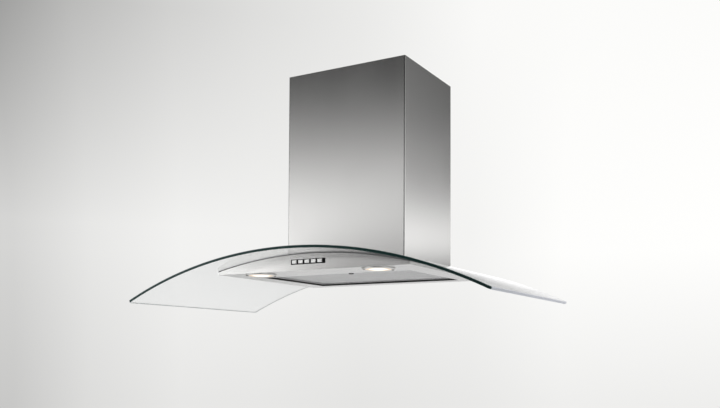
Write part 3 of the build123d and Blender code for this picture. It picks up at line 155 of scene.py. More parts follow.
# %% [markdown]
# ## Where the viewer stands
# The hood hangs at head height and is seen from the right, from a little under the glass, so
# the filter and both lamps show. The camera is placed by its position, its heading and a small
# upward tilt. A slight vertical shift keeps the chimney's upright edges upright in the picture.

# %% The camera
CAMERA_PLACE = (0.9881, -1.9064, -0.3782)
CAMERA_HEADING = math.radians(29.80)
CAMERA_TILT = math.radians(2.077)
CAMERA_ROLL = math.radians(0.2424)
CAMERA_LENS = 41.507
CAMERA_SHIFT_UP = 0.1686

ahead_level = Vector((-math.sin(CAMERA_HEADING), math.cos(CAMERA_HEADING), 0))
right_level = Vector((math.cos(CAMERA_HEADING), math.sin(CAMERA_HEADING), 0))
upright = Vector((0, 0, 1))
ahead = ahead_level * math.cos(CAMERA_TILT) + upright * math.sin(CAMERA_TILT)
above = upright * math.cos(CAMERA_TILT) - ahead_level * math.sin(CAMERA_TILT)
side = right_level * math.cos(CAMERA_ROLL) + above * math.sin(CAMERA_ROLL)
above = above * math.cos(CAMERA_ROLL) - right_level * math.sin(CAMERA_ROLL)
camera = bpy.data.objects.new("viewpoint", bpy.data.cameras.new("viewpoint"))
scene.collection.objects.link(camera)
camera.matrix_world = Matrix.Translation(CAMERA_PLACE) @ Matrix((side, above, -ahead)).transposed().to_4x4()
camera.data.lens = CAMERA_LENS
camera.data.shift_y = CAMERA_SHIFT_UP
scene.camera = camera
scene.view_settings.view_transform = "Standard"
print("camera height in mm:", round(1000 * CAMERA_PLACE[2]))

# %% [markdown]
# ## The studio
# Bare steel shows the room more than itself, so the room is designed: a pale surround, a bright
# band near the horizon and a darker ceiling. The upright covers mirror that change, bright at
# the foot and deep grey at the top. In front the band falls off from left to right, and behind
# it falls off towards the far side, so that no face is lit evenly. Dark boards that stand to the
# left and in front draw a thin line along each bend of the covers. All of this is only seen in
# a mirror. The surround that is seen directly, or through clear glass, stays pale, as a paper
# roll would be. A wide floor of pale matt paint lies well below the hood.

# %% The surround
FLOOR_LEVEL = -1.6
FLOOR_RADIUS = 7.0

world = bpy.data.worlds.new("studio")
scene.world = world
world.use_nodes = True
room = world.node_tree
room.nodes.clear()
direction = add(room, "ShaderNodeTexCoord").outputs["Generated"]
height = separate_node(room, direction)[2]


def along(axis):
    """How far the direction of the light path points along one axis."""
    product = add(room, "ShaderNodeVectorMath", {0: direction, 1: axis}, operation="DOT_PRODUCT")
    return product.outputs["Value"]


def ramp(tree, value, stops):
    """A curve of brightness through (place, level) stops, read at a value from 0 to 1."""
    made = add(tree, "ShaderNodeValToRGB", {0: value})
    elements = made.color_ramp.elements
    while len(elements) < len(stops):
        elements.new(0.5)
    for element, (stop_place, level) in zip(elements, stops):
        element.position = stop_place
        element.color = gray(level)
    return made.outputs[0]


rise = span_node(room, height, -1.0, 1.0, 0.0, 1.0)
to_right = along((1.0, 0.0, 0.0))
FRONT_BAND = (
    (0.0, 0.50), (0.44, 0.62), (0.49, 1.00), (0.555, 1.00), (0.585, 0.76),
    (0.62, 0.25), (0.66, 0.014), (0.69, 0.014), (0.74, 0.20), (0.84, 0.36), (1.0, 0.42),
)
REAR_BAND = (
    (0.0, 0.30), (0.42, 0.34), (0.455, 0.38), (0.50, 0.80), (0.56, 1.15), (0.60, 0.50),
    (0.64, 0.225), (0.68, 0.17), (0.74, 0.14), (0.84, 0.35), (1.0, 0.42),
)
BAND_GAIN = 1.9
front_level = ramp(room, rise, FRONT_BAND)
rear_level = ramp(room, rise, REAR_BAND)
LOW_SHARE = (
    (0.0, 0.50), (0.29, 0.60), (0.34, 1.60), (0.38, 1.60), (0.41, 0.60),
    (0.45, 0.02), (0.56, 0.02), (0.66, 0.55), (1.0, 0.55),
)
low_share = ramp(room, span_node(room, to_right, -1.0, 0.0, 0.0, 1.0), LOW_SHARE)
middle_share = span_node(room, to_right, -0.66, -0.42, 1.45, 0.50)
high_share = span_node(room, to_right, -0.66, -0.42, 0.94, 1.28)
share = tint_node(room, span_node(room, rise, 0.559, 0.573, 0.0, 1.0), low_share, middle_share)
share = tint_node(room, span_node(room, rise, 0.575, 0.615, 0.0, 1.0), share, high_share)
front_level = math_node(room, "MULTIPLY", front_level, share)
not_right = span_node(room, to_right, 0.2, 0.3, 1.0, 0.0)
far_share = span_node(room, rise, 0.575, 0.60, 0.50, 0.06)
left_share = math_node(room, "MULTIPLY", not_right, span_node(room, rise, 0.50, 0.54, 1.15, 0.66))
rear_share = math_node(room, "MAXIMUM", span_node(room, to_right, 0.395, 0.45, far_share, 1.0), left_share)
foot_share = math_node(room, "MAXIMUM", span_node(room, rise, 0.55, 0.565, 0.04, 1.0), not_right)
rear_level = math_node(room, "MULTIPLY", rear_level, math_node(room, "MULTIPLY", rear_share, foot_share))
rearness = span_node(room, along((0.0, 1.0, 0.0)), -0.3, 0.3, 0.0, 1.0)
mirrored_level = math_node(room, "MULTIPLY", tint_node(room, rearness, front_level, rear_level), BAND_GAIN)
STANDING_BOARDS = (
    ((0.35, -0.937, 0.0), 0.75, 0.86, 0.03),
    ((0.97, -0.243, 0.0), 0.86, 0.97, 1.2),
    ((-1.0, 0.0, 0.0), 0.74, 0.86, 0.04),
)
for board_side, board_edge, board_core, board_level in STANDING_BOARDS:
    board = span_node(room, along(board_side), board_edge, board_core, 1.0, board_level)
    mirrored_level = math_node(room, "MULTIPLY", mirrored_level, board)

sideways = span_node(room, along(tuple(right_level)), -0.42, 0.42, 0.0, 1.0)
PAPER_WHITE = (1.0, 0.998, 0.985)
PAPER_PLACES = (0.042, 0.131, 0.25, 0.357, 0.5, 0.655, 0.78, 0.964)
PAPER_LOW = (0.58, 0.716, 0.80, 0.80, 0.78, 0.81, 0.86, 0.855)
PAPER_MIDDLE = (0.665, 0.80, 0.89, 0.89, 0.87, 0.90, 0.99, 1.0)
PAPER_TOP = (0.314, 0.49, 0.64, 0.73, 0.82, 0.95, 0.97, 0.975)
paper_low, paper_middle, paper_top = (
    ramp(room, sideways, tuple(zip(PAPER_PLACES, levels))) for levels in (PAPER_LOW, PAPER_MIDDLE, PAPER_TOP)
)
paper = tint_node(room, span_node(room, height, -0.054, 0.12, 0.0, 1.0), paper_low, paper_middle)
paper = tint_node(room, span_node(room, height, 0.15, 0.38, 0.0, 1.0), paper, paper_top)
paper_colour = vector_node(room, "MULTIPLY", paper, PAPER_WHITE)
path = add(room, "ShaderNodeLightPath").outputs
unmirrored = math_node(room, "LESS_THAN", path["Glossy Depth"], 0.5)
through_glass = math_node(room, "MULTIPLY", path["Is Transmission Ray"], unmirrored)
seen = math_node(room, "MAXIMUM", path["Is Camera Ray"], through_glass)
shown = tint_node(room, seen, mirrored_level, paper_colour)
backdrop = add(room, "ShaderNodeBackground", {"Color": shown, "Strength": 1.0})
add(room, "ShaderNodeOutputWorld", {0: backdrop.outputs[0]})
print("surround ready,", len(room.nodes), "nodes")


# %% Soft lamps of the studio
def soft_lamp(name, place, aim, size, power):
    """A large square white light that points at a spot."""
    data = bpy.data.lights.new(name, "AREA")
    data.shape = "SQUARE"
    data.size = size
    data.energy = power
    lamp = bpy.data.objects.new(name, data)
    scene.collection.objects.link(lamp)
    lamp.location = place
    lamp.rotation_mode = "QUATERNION"
    lamp.rotation_quaternion = (Vector(aim) - Vector(place)).to_track_quat("-Z", "Y")


hood_middle = (cad_low + cad_high) / 2
soft_lamp("soft_left", (-3.2, -2.6, -0.7), hood_middle, 2.4, 9.0)
soft_lamp("soft_above", (0.6, -0.4, 3.4), hood_middle, 2.2, 85.0)

# %% [markdown]
# ## Effects that many finishes share
# Brushed lines, finger marks, fine moulded grain and fine dust turn up on many materials. Each
# is a shader group with named inputs, so that one recipe serves steel, plastic and glass with
# its own values. The groups give only masks and heights: gloss stays in each material.

# %% Shader group: brushed lines
lines_tree, lines_in, lines_out = new_tree(
    "brushed_lines",
    "ShaderNodeTree",
    [
        ("Place", "NodeSocketVector", None),
        ("Fine Stretch", "NodeSocketVector", (2.0, 2.0, 900.0)),
        ("Broad Stretch", "NodeSocketVector", (0.6, 0.6, 120.0)),
        ("Gloss Middle", "NodeSocketFloat", 0.25),
        ("Gloss Spread", "NodeSocketFloat", 0.08),
    ],
    [("Lines", "NodeSocketFloat"), ("Roughness", "NodeSocketFloat")],
)
fine_place = vector_node(lines_tree, "MULTIPLY", lines_in["Place"], lines_in["Fine Stretch"])
broad_place = vector_node(lines_tree, "MULTIPLY", lines_in["Place"], lines_in["Broad Stretch"])
FINE_SHARE = 0.75
fine = math_node(lines_tree, "MULTIPLY", noise_node(lines_tree, fine_place, 1.0, 3.0), FINE_SHARE)
broad = math_node(lines_tree, "MULTIPLY", noise_node(lines_tree, broad_place, 1.0), 1.0 - FINE_SHARE)
both = math_node(lines_tree, "ADD", fine, broad)
off_middle = math_node(lines_tree, "SUBTRACT", both, 0.5)
swing = math_node(lines_tree, "MULTIPLY", off_middle, lines_in["Gloss Spread"])
lines_tree.links.new(both, lines_out["Lines"])
lines_tree.links.new(math_node(lines_tree, "ADD", swing, lines_in["Gloss Middle"]), lines_out["Roughness"])
print("group:", lines_tree.name, len(lines_tree.nodes), "nodes")

# %% Shader group: handling marks and dust
marks_tree, marks_in, marks_out = new_tree(
    "handling_marks",
    "ShaderNodeTree",
    [
        ("Place", "NodeSocketVector", None),
        ("Patch Scale", "NodeSocketFloat", 6.0),
        ("Dust Scale", "NodeSocketFloat", 600.0),
        ("Smudges", "NodeSocketFloat", 0.05),
        ("Dust", "NodeSocketFloat", 0.1),
    ],
    [("Smudge", "NodeSocketFloat"), ("Dust", "NodeSocketFloat")],
)
patch = noise_node(marks_tree, marks_in["Place"], marks_in["Patch Scale"], 4.0)
patch = span_node(marks_tree, patch, 0.48, 0.68, 0.0, 1.0, smooth=True)
marks_tree.links.new(math_node(marks_tree, "MULTIPLY", patch, marks_in["Smudges"]), marks_out["Smudge"])
speck = noise_node(marks_tree, marks_in["Place"], marks_in["Dust Scale"])
facing_up = separate_node(marks_tree, add(marks_tree, "ShaderNodeNewGeometry").outputs["Normal"])[2]
level_share = span_node(marks_tree, facing_up, 0.2, 0.9, 0.0, 1.0)
settled = math_node(marks_tree, "MULTIPLY", level_share, span_node(marks_tree, speck, 0.4, 0.7, 0.2, 1.0))
marks_tree.links.new(math_node(marks_tree, "MULTIPLY", settled, marks_in["Dust"]), marks_out["Dust"])
print("group:", marks_tree.name, len(marks_tree.nodes), "nodes")

# %% Shader group: moulded or cast skin
skin_tree, skin_in, skin_out = new_tree(
    "moulded_skin",
    "ShaderNodeTree",
    [
        ("Place", "NodeSocketVector", None),
        ("Grain Scale", "NodeSocketFloat", 900.0),
        ("Gloss Middle", "NodeSocketFloat", 0.45),
        ("Gloss Spread", "NodeSocketFloat", 0.15),
    ],
    [("Height", "NodeSocketFloat"), ("Roughness", "NodeSocketFloat"), ("Mottle", "NodeSocketFloat")],
)
cells = add(skin_tree, "ShaderNodeTexVoronoi", {"Vector": skin_in["Place"], "Scale": skin_in["Grain Scale"]})
grain = cells.outputs["Distance"]
flow = noise_node(skin_tree, skin_in["Place"], 28.0, 3.0)
skin_tree.links.new(grain, skin_out["Height"])
skin_tree.links.new(flow, skin_out["Mottle"])
flow_off_middle = math_node(skin_tree, "SUBTRACT", flow, 0.5)
flow_swing = math_node(skin_tree, "MULTIPLY", flow_off_middle, skin_in["Gloss Spread"])
skin_tree.links.new(math_node(skin_tree, "ADD", flow_swing, skin_in["Gloss Middle"]), skin_out["Roughness"])
print("group:", skin_tree.name, len(skin_tree.nodes), "nodes")


# %% Helpers for finishes
def new_finish(name, **plain):
    """An empty material with one surface shader; plain sets the shader's constant sockets."""
    finish = bpy.data.materials.new(name)
    finish.use_nodes = True
    tree = finish.node_tree
    tree.nodes.clear()
    shader = add(tree, "ShaderNodeBsdfPrincipled")
    add(tree, "ShaderNodeOutputMaterial", {0: shader.outputs[0]})
    for key, value in plain.items():
        shader.inputs[key.replace("_", " ")].default_value = value
    place = add(tree, "ShaderNodeTexCoord").outputs["Object"]
    return finish, tree, shader, place


def use_group(tree, group, **inputs):
    """Places a shared group in a material with that material's own values."""
    made = add(tree, "ShaderNodeGroup", node_tree=group)
    for key, value in inputs.items():
        socket = made.inputs[key.replace("_", " ")]
        if isinstance(value, bpy.types.NodeSocket):
            tree.links.new(value, socket)
        else:
            socket.default_value = value
    return made.outputs


def bump(tree, shader, height_value, strength, distance):
    """Fine relief from a height."""
    relief = add(tree, "ShaderNodeBump", {"Height": height_value, "Strength": strength, "Distance": distance})
    tree.links.new(relief.outputs[0], shader.inputs["Normal"])


FINISH = {}
for packed in list(bpy.data.materials):
    packed.name = "packed_" + packed.name
print("finish helpers ready")

# %% [markdown]
# ## Brushed stainless steel
# The covers and the body are sheet steel, linished with a belt before folding. The belt leaves
# long parallel lines, so the gloss is drawn out across them: up the chimney the lines run
# upright, and on the body they run from side to side. All these finishes use one recipe with
# another stretch, and a tangent set across the lines tells the shader which way the gloss
# spreads. The cut walls of the bottom panel's opening get painted shade: their colour is darkened, which
# draws the filter's gap.


# %% Brushed steel, two directions
def brushed_steel(name, fine_stretch, broad_stretch, across, colour, gloss, spread, stretch, painted_wall_shade=1.0):
    """Linished sheet steel; the gloss spreads along across, and a shade level below 1 paints shade on upright
    cut walls by darkening their colour.
    """
    finish, tree, shader, place = new_finish(name, Metallic=1.0, Anisotropic=stretch)
    lines = use_group(
        tree, lines_tree, Place=place, Fine_Stretch=fine_stretch, Broad_Stretch=broad_stretch,
        Gloss_Middle=gloss, Gloss_Spread=spread,
    )
    marks = use_group(tree, marks_tree, Place=place, Smudges=0.015, Dust=0.08)
    shade = tint_node(tree, lines["Lines"], opaque(colour, 0.93), opaque(colour))
    shade = tint_node(tree, marks["Dust"], shade, (0.55, 0.54, 0.52, 1.0))
    # Painted shade: upright faces, the cut walls of the panel's opening, get their colour darkened to this
    # level.
    if painted_wall_shade < 1.0:
        up_part = separate_node(tree, add(tree, "ShaderNodeNewGeometry").outputs["Normal"])[2]
        painted_shade_mask = span_node(tree, math_node(tree, "ABSOLUTE", up_part), 0.3, 0.7, 1.0, 0.0)
        shade = tint_node(tree, painted_shade_mask, shade, opaque(colour, painted_wall_shade))
    tree.links.new(shade, shader.inputs["Base Color"])
    tree.links.new(math_node(tree, "ADD", lines["Roughness"], marks["Smudge"]), shader.inputs["Roughness"])
    tree.links.new(combine_node(tree, *across), shader.inputs["Tangent"])
    bump(tree, shader, lines["Lines"], 0.03, 0.0001)
    return finish


STEEL_COLOUR = (0.66, 0.655, 0.645)
BEZEL_COLOUR = (0.78, 0.77, 0.75)
BUTTON_COLOUR = (0.90, 0.90, 0.89)
UPRIGHT_LINES = (900.0, 900.0, 2.0), (130.0, 130.0, 0.6), (1.0, 1.0, 0.0)
LEVEL_LINES = (2.0, 900.0, 900.0), (0.8, 140.0, 140.0), (0.0, 1.0, 1.0)
SPUN_LINES = (700.0, 700.0, 700.0), (60.0, 60.0, 60.0), (1.0, 0.0, 0.0)
BUTTON_LINES = (40.0, 1500.0, 1500.0), (5.0, 400.0, 400.0), (0.0, 1.0, 1.0)
BRUSHED = {
    "cover_steel": (*UPRIGHT_LINES, STEEL_COLOUR, 0.20, 0.08, 0.6),
    "body_steel": (*LEVEL_LINES, STEEL_COLOUR, 0.22, 0.08, 0.3),
    # panel_steel's last number is the level of painted shade on the cut walls of its opening.
    "panel_steel": (*LEVEL_LINES, STEEL_COLOUR, 0.24, 0.08, 0.3, 0.12),
    "bezel_steel": (*SPUN_LINES, BEZEL_COLOUR, 0.34, 0.10, 0.0),
    "button_silver": (*BUTTON_LINES, BUTTON_COLOUR, 0.22, 0.08, 0.4),
}
for name, values in BRUSHED.items():
    FINISH[name] = brushed_steel(name, *values)
print("steel finishes:", list(FINISH))

# %% [markdown]
# ## Toughened glass
# The canopy is clear float glass bent to an arc. Float glass holds a little iron: through the
# sheet it is almost colourless, but along the sheet, where the ground edge shows, it is deep
# green. So the faces and the edge get two finishes. Looked at squarely the edge shows that dark
# green. At a slant a facing mask turns its colour pale, which is a painted reflection, and the
# edge seen from inside the sheet gets a lighter colour, which is painted light through the edge.

# %% Glass finishes
GLASS_TINT = (0.988, 0.996, 0.996, 1.0)
finish, tree, shader, place = new_finish("canopy_glass", IOR=1.5, Transmission_Weight=1.0, Metallic=0.0)
marks = use_group(tree, marks_tree, Place=place, Patch_Scale=5.0, Smudges=0.03, Dust=0.05)
dusted = tint_node(tree, marks["Dust"], GLASS_TINT, (0.90, 0.90, 0.89, 1.0))
tree.links.new(dusted, shader.inputs["Base Color"])
tree.links.new(math_node(tree, "ADD", marks["Smudge"], 0.004), shader.inputs["Roughness"])
FINISH["canopy_glass"] = finish

finish, tree, shader, place = new_finish("glass_edge", IOR=1.5, Metallic=0.0, Specular_IOR_Level=0.12)
slant = add(tree, "ShaderNodeLayerWeight", {"Blend": 0.5}).outputs["Facing"]
grind = noise_node(tree, place, 420.0, 3.0)
# Painted light in the edge colour: the facing mask goes from the deep green through a middle tone to a pale
# painted reflection at a slant, and faces seen from inside get a lighter painted colour.
EDGE_DEEP = (0.002, 0.018, 0.016, 1.0)
EDGE_MIDDLE = (0.030, 0.070, 0.064, 1.0)
EDGE_PAINTED_REFLECTION = (0.84, 0.86, 0.93, 1.0)
EDGE_INSIDE_PAINTED_LIGHT = (0.55, 0.60, 0.59, 1.0)
painted_reflection = tint_node(tree, span_node(tree, slant, 0.42, 0.72, 0.0, 1.0), EDGE_MIDDLE, EDGE_PAINTED_REFLECTION)
deep = tint_node(tree, span_node(tree, slant, 0.08, 0.34, 0.0, 1.0), EDGE_DEEP, painted_reflection)
inside = add(tree, "ShaderNodeNewGeometry").outputs["Backfacing"]
tree.links.new(tint_node(tree, inside, deep, EDGE_INSIDE_PAINTED_LIGHT), shader.inputs["Base Color"])
tree.links.new(span_node(tree, grind, 0.2, 0.8, 0.10, 0.24), shader.inputs["Roughness"])
bump(tree, shader, grind, 0.02, 0.0001)
FINISH["glass_edge"] = finish
print("glass finishes ready")

# %% [markdown]
# ## Coated, plated and moulded finishes
# Behind the covers are galvanised sheet, zinc-plated screws, cast and moulded plastics and the
# painted motor. They are seen from the back, the top and with the filter down, so each gets
# its own grain: spangle on the galvanised sheet, mould texture on plastic, sheen on rubber.


# %% Moulded finishes
def moulded(name, colour, gloss, spread, grain_scale, relief, **plain):
    """Plastic, rubber or paint with a fine skin; colour varies a little with the flow."""
    made, tree, shader, place = new_finish(name, **plain)
    skin = use_group(
        tree, skin_tree, Place=place, Grain_Scale=grain_scale, Gloss_Middle=gloss, Gloss_Spread=spread
    )
    marks = use_group(tree, marks_tree, Place=place, Smudges=0.04, Dust=0.18)
    shade = tint_node(tree, skin["Mottle"], opaque(colour, 0.8), opaque(colour))
    shade = tint_node(tree, marks["Dust"], shade, (0.45, 0.44, 0.42, 1.0))
    tree.links.new(shade, shader.inputs["Base Color"])
    tree.links.new(math_node(tree, "ADD", skin["Roughness"], marks["Smudge"]), shader.inputs["Roughness"])
    bump(tree, shader, skin["Height"], relief, 0.0002)
    FINISH[name] = made


MOULDED = {
    "seal_rubber": ((0.110, 0.110, 0.112), 0.55, 0.2, 1400.0, 0.2, 0.15),
    "black_plastic": ((0.006, 0.006, 0.007), 0.42, 0.15, 1100.0, 0.15, 0.15),
    "grey_plastic": ((0.23, 0.235, 0.24), 0.5, 0.15, 1000.0, 0.2, 0.4),
    "nylon": ((0.72, 0.70, 0.62), 0.42, 0.1, 1200.0, 0.1, 0.5),
    "ceramic": ((0.82, 0.80, 0.76), 0.55, 0.1, 900.0, 0.1, 0.4),
    "motor_enamel": ((0.035, 0.045, 0.06), 0.36, 0.2, 500.0, 0.25, 0.5),
    "capacitor_can": ((0.60, 0.60, 0.58), 0.4, 0.15, 1000.0, 0.1, 0.5),
}
for name, (colour, gloss, spread, grain_scale, relief, shine) in MOULDED.items():
    moulded(name, colour, gloss, spread, grain_scale, relief, Specular_IOR_Level=shine)
print("moulded finishes:", len(MOULDED))


# %% Bare and plated metals
def plated(name, colour, gloss, spread, scale):
    """Bare or plated metal with an even, directionless grain."""
    made, tree, shader, place = new_finish(name, Metallic=1.0)
    skin = use_group(tree, skin_tree, Place=place, Grain_Scale=scale, Gloss_Middle=gloss, Gloss_Spread=spread)
    shade = tint_node(tree, skin["Mottle"], opaque(colour, 0.82), opaque(colour))
    tree.links.new(shade, shader.inputs["Base Color"])
    tree.links.new(skin["Roughness"], shader.inputs["Roughness"])
    bump(tree, shader, skin["Height"], 0.08, 0.0001)
    FINISH[name] = made


PLATED = {
    "fixing_steel": ((0.62, 0.62, 0.60), 0.32, 0.15, 900.0),
    "lamp_screw_steel": ((0.10, 0.095, 0.09), 0.38, 0.15, 900.0),
    "filter_aluminium": ((0.72, 0.72, 0.72), 0.34, 0.12, 700.0),
    "mesh_aluminium": ((0.80, 0.80, 0.80), 0.36, 0.15, 800.0),
    "reflector": ((0.90, 0.88, 0.84), 0.14, 0.08, 300.0),
    "shaft_steel": ((0.66, 0.66, 0.66), 0.2, 0.1, 1200.0),
}
for name, (colour, gloss, spread, scale) in PLATED.items():
    plated(name, colour, gloss, spread, scale)
print("plated finishes:", len(PLATED))

# %% Galvanised sheet with its spangle
finish, tree, shader, place = new_finish("galvanised_steel", Metallic=1.0)
warp = add(tree, "ShaderNodeTexNoise", {"Vector": place, "Scale": 30.0, "Detail": 2.0}).outputs[1]
shifted = vector_node(tree, "ADD", place, vector_node(tree, "MULTIPLY", warp, (0.012, 0.012, 0.012)))
flakes = add(tree, "ShaderNodeTexVoronoi", {"Vector": shifted, "Scale": 95.0}).outputs["Color"]
flake = add(tree, "ShaderNodeSeparateColor", {0: flakes}).outputs
spangle = tint_node(tree, flake[0], (0.46, 0.48, 0.50, 1.0), (0.66, 0.68, 0.69, 1.0))
tree.links.new(spangle, shader.inputs["Base Color"])
tree.links.new(span_node(tree, flake[1], 0.0, 1.0, 0.30, 0.52), shader.inputs["Roughness"])
bump(tree, shader, flake[2], 0.05, 0.0002)
FINISH["galvanised_steel"] = finish
print("galvanised sheet ready")

# %% [markdown]
# ## Lit lamps
# Each lamp is a halogen capsule over a bowl, behind a frosted lens. A lit lens is brightest
# over the bulb and falls off to its rim. The two lenses sit at mirrored places, so one finish
# serves both: it measures the distance from the lamp's middle with the left side folded over.

# %% Lamp finishes
LAMP_GLOW = 1.35
lens_low, lens_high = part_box("lamp_lens_right")
lens_middle = (lens_low + lens_high) / 2
lens_radius = (lens_high.x - lens_low.x) / 2

finish, tree, shader, place = new_finish("lamp_glass", IOR=1.45, Emission_Strength=LAMP_GLOW)
one_side = add(tree, "ShaderNodeVectorMath", {0: place}, operation="ABSOLUTE").outputs[0]
folded = vector_node(tree, "SUBTRACT", one_side, (lens_middle.x, -lens_middle.y, -lens_middle.z))
flat_away = vector_node(tree, "MULTIPLY", folded, (1.0, 1.0, 0.0))
away = add(tree, "ShaderNodeVectorMath", {0: flat_away}, operation="LENGTH").outputs["Value"]
frost = add(tree, "ShaderNodeTexVoronoi", {"Vector": place, "Scale": 420.0}).outputs["Distance"]
glow = span_node(tree, away, 0.45 * lens_radius, 0.84 * lens_radius, 1.0, 0.12, smooth=True)
ripple = math_node(tree, "MULTIPLY", glow, span_node(tree, frost, 0.0, 0.7, 1.0, 0.86))
warm = tint_node(tree, ripple, (0.30, 0.22, 0.15, 1.0), (1.0, 0.93, 0.80, 1.0))
tree.links.new(warm, shader.inputs["Emission Color"])
lens_body = tint_node(tree, frost, (0.86, 0.85, 0.82, 1.0), (0.74, 0.73, 0.70, 1.0))
# Painted lamp light: the lens's own colour follows the glow, pale frosted over the bulb and warm and darker
# towards the rim.
tree.links.new(tint_node(tree, glow, (0.34, 0.25, 0.17, 1.0), lens_body), shader.inputs["Base Color"])
tree.links.new(span_node(tree, frost, 0.0, 0.8, 0.22, 0.40), shader.inputs["Roughness"])
bump(tree, shader, frost, 0.2, 0.0003)
FINISH["lamp_glass"] = finish

finish, tree, shader, place = new_finish("bulb_glass", IOR=1.5, Emission_Strength=3.0)
coil = noise_node(tree, place, 300.0)
burning = tint_node(tree, coil, (1.0, 0.78, 0.50, 1.0), (1.0, 0.92, 0.76, 1.0))
tree.links.new(burning, shader.inputs["Emission Color"])
tree.links.new(span_node(tree, coil, 0.0, 1.0, 0.08, 0.2), shader.inputs["Roughness"])
FINISH["bulb_glass"] = finish
print("lens radius in mm:", round(1000 * lens_radius, 1))

# %% [markdown]
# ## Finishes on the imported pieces
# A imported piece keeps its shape. Only its material slots change, each to the finish that the
# record names for it. The steel is split: upright lines for the covers, and level lines for the
# body and the bottom panel.

# %% Put the finishes on
STEEL_OF = {"body_shell": "body_steel", "underside_panel": "panel_steel"}
changed = 0
for name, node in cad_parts.items():
    for material_slot in node.material_slots:
        wanted = material_slot.material.name.removeprefix("packed_")
        if wanted == "stainless":
            wanted = STEEL_OF.get(name, "cover_steel")
        material_slot.material = FINISH[wanted]
        changed += 1
print("slots changed:", changed)


# %% [markdown]
# ## Turning a node tree's result into a piece
# A geometry tree is live: it is worked out again whenever something changes. A finished piece
# is a plain mesh, so the result is read once, stored on the object, and the tree comes off.


# %% Helper: settle a geometry tree
def grow_piece(name, tree, values):
    """Runs a geometry tree with named values and keeps its result as a plain mesh piece."""
    piece = bpy.data.objects.new(name, bpy.data.meshes.new(name))
    scene.collection.objects.link(piece)
    modifier = piece.modifiers.new("grow", "NODES")
    modifier.node_group = tree
    for item in tree.interface.items_tree:
        if item.item_type == "SOCKET" and item.in_out == "INPUT" and item.name in values:
            modifier[item.identifier] = values[item.name]
    bpy.context.view_layer.update()
    result = bpy.data.meshes.new_from_object(piece.evaluated_get(bpy.context.evaluated_depsgraph_get()))
    piece.modifiers.clear()
    piece.data = result
    result.name = name
    return piece


def triangles(piece):
    """How many triangles a piece has."""
    piece.data.calc_loop_triangles()
    return len(piece.data.loop_triangles)


print("piece helper ready")

# %% [markdown]
# ## The bent glass canopy
# The real sheet is cut flat, its holes are drilled and its edges ground, and only then is it
# heated and bent over a mould. The tree follows the same order: a flat sheet in narrow columns,
# trimmed by a rounded outline with a small arris, then drilled, then bent to the arc. Narrow
# columns make the bend smooth. The edge faces are marked while the sheet is still flat.

# %% Geometry tree: cutters with an arris
GLASS_THICKNESS = 0.006
GLASS_RADIUS = 1.040
GLASS_ARRIS = 0.0008
CUTTER_OVERRUN = 0.0004
BLANK_MARGIN = 0.02
MERGE_DISTANCE = 0.00001
glass_low, glass_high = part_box("glass_canopy")
ARC_MIDDLE_HEIGHT = glass_high.z - GLASS_RADIUS
glass_half_angle = math.asin(glass_high.x / (GLASS_RADIUS - GLASS_ARRIS))
GLASS_HALF_LENGTH = GLASS_RADIUS * glass_half_angle
GLASS_DEPTH = glass_high.y - glass_low.y

glass_tree, glass_in, glass_out = new_tree(
    "bent_glass",
    "GeometryNodeTree",
    [
        ("Half Length", "NodeSocketFloat", 0.46),
        ("Depth", "NodeSocketFloat", 0.49),
        ("Thickness", "NodeSocketFloat", 0.006),
        ("Bend Radius", "NodeSocketFloat", 1.04),
        ("Arc Height", "NodeSocketFloat", -1.19),
        ("Corner Radius", "NodeSocketFloat", 0.005),
        ("Arris", "NodeSocketFloat", 0.0008),
        ("Cutout Size", "NodeSocketVector", (0.244, 0.2, 0.0)),
        ("Cutout Middle", "NodeSocketVector", (0.0, -0.128, 0.0)),
        ("Cutout Radius", "NodeSocketFloat", 0.02),
        ("Bolt Radius", "NodeSocketFloat", 0.005),
        ("Bolt Half Width", "NodeSocketFloat", 0.138),
        ("Bolt Depths", "NodeSocketVector", (0.06, 0.2, 0.0)),
        ("Columns", "NodeSocketInt", 150),
        ("Side Step", "NodeSocketFloat", 0.007),
    ],
    [("Geometry", "NodeSocketGeometry")],
)


def glass_math(operation, first, second=0.0):
    """One arithmetic step in the glass tree."""
    return math_node(glass_tree, operation, first, second)


def glass_vector(operation, first, second):
    """One vector step in the glass tree."""
    return vector_node(glass_tree, operation, first, second)


def glass_node(kind, inputs=None, **options):
    """One node in the glass tree; returns its first output."""
    return add(glass_tree, kind, inputs, **options).outputs[0]


def compose(x, y, z):
    """A vector from three values in the glass tree."""
    return combine_node(glass_tree, x, y, z)


def negative(value):
    """A value with its sign changed, in the glass tree."""
    return glass_math("MULTIPLY", value, -1.0)


def moved(shape, by, scale=(1.0, 1.0, 1.0)):
    """A shape set at another place in the glass tree."""
    return glass_node("GeometryNodeTransform", {"Geometry": shape, "Translation": by, "Scale": scale})


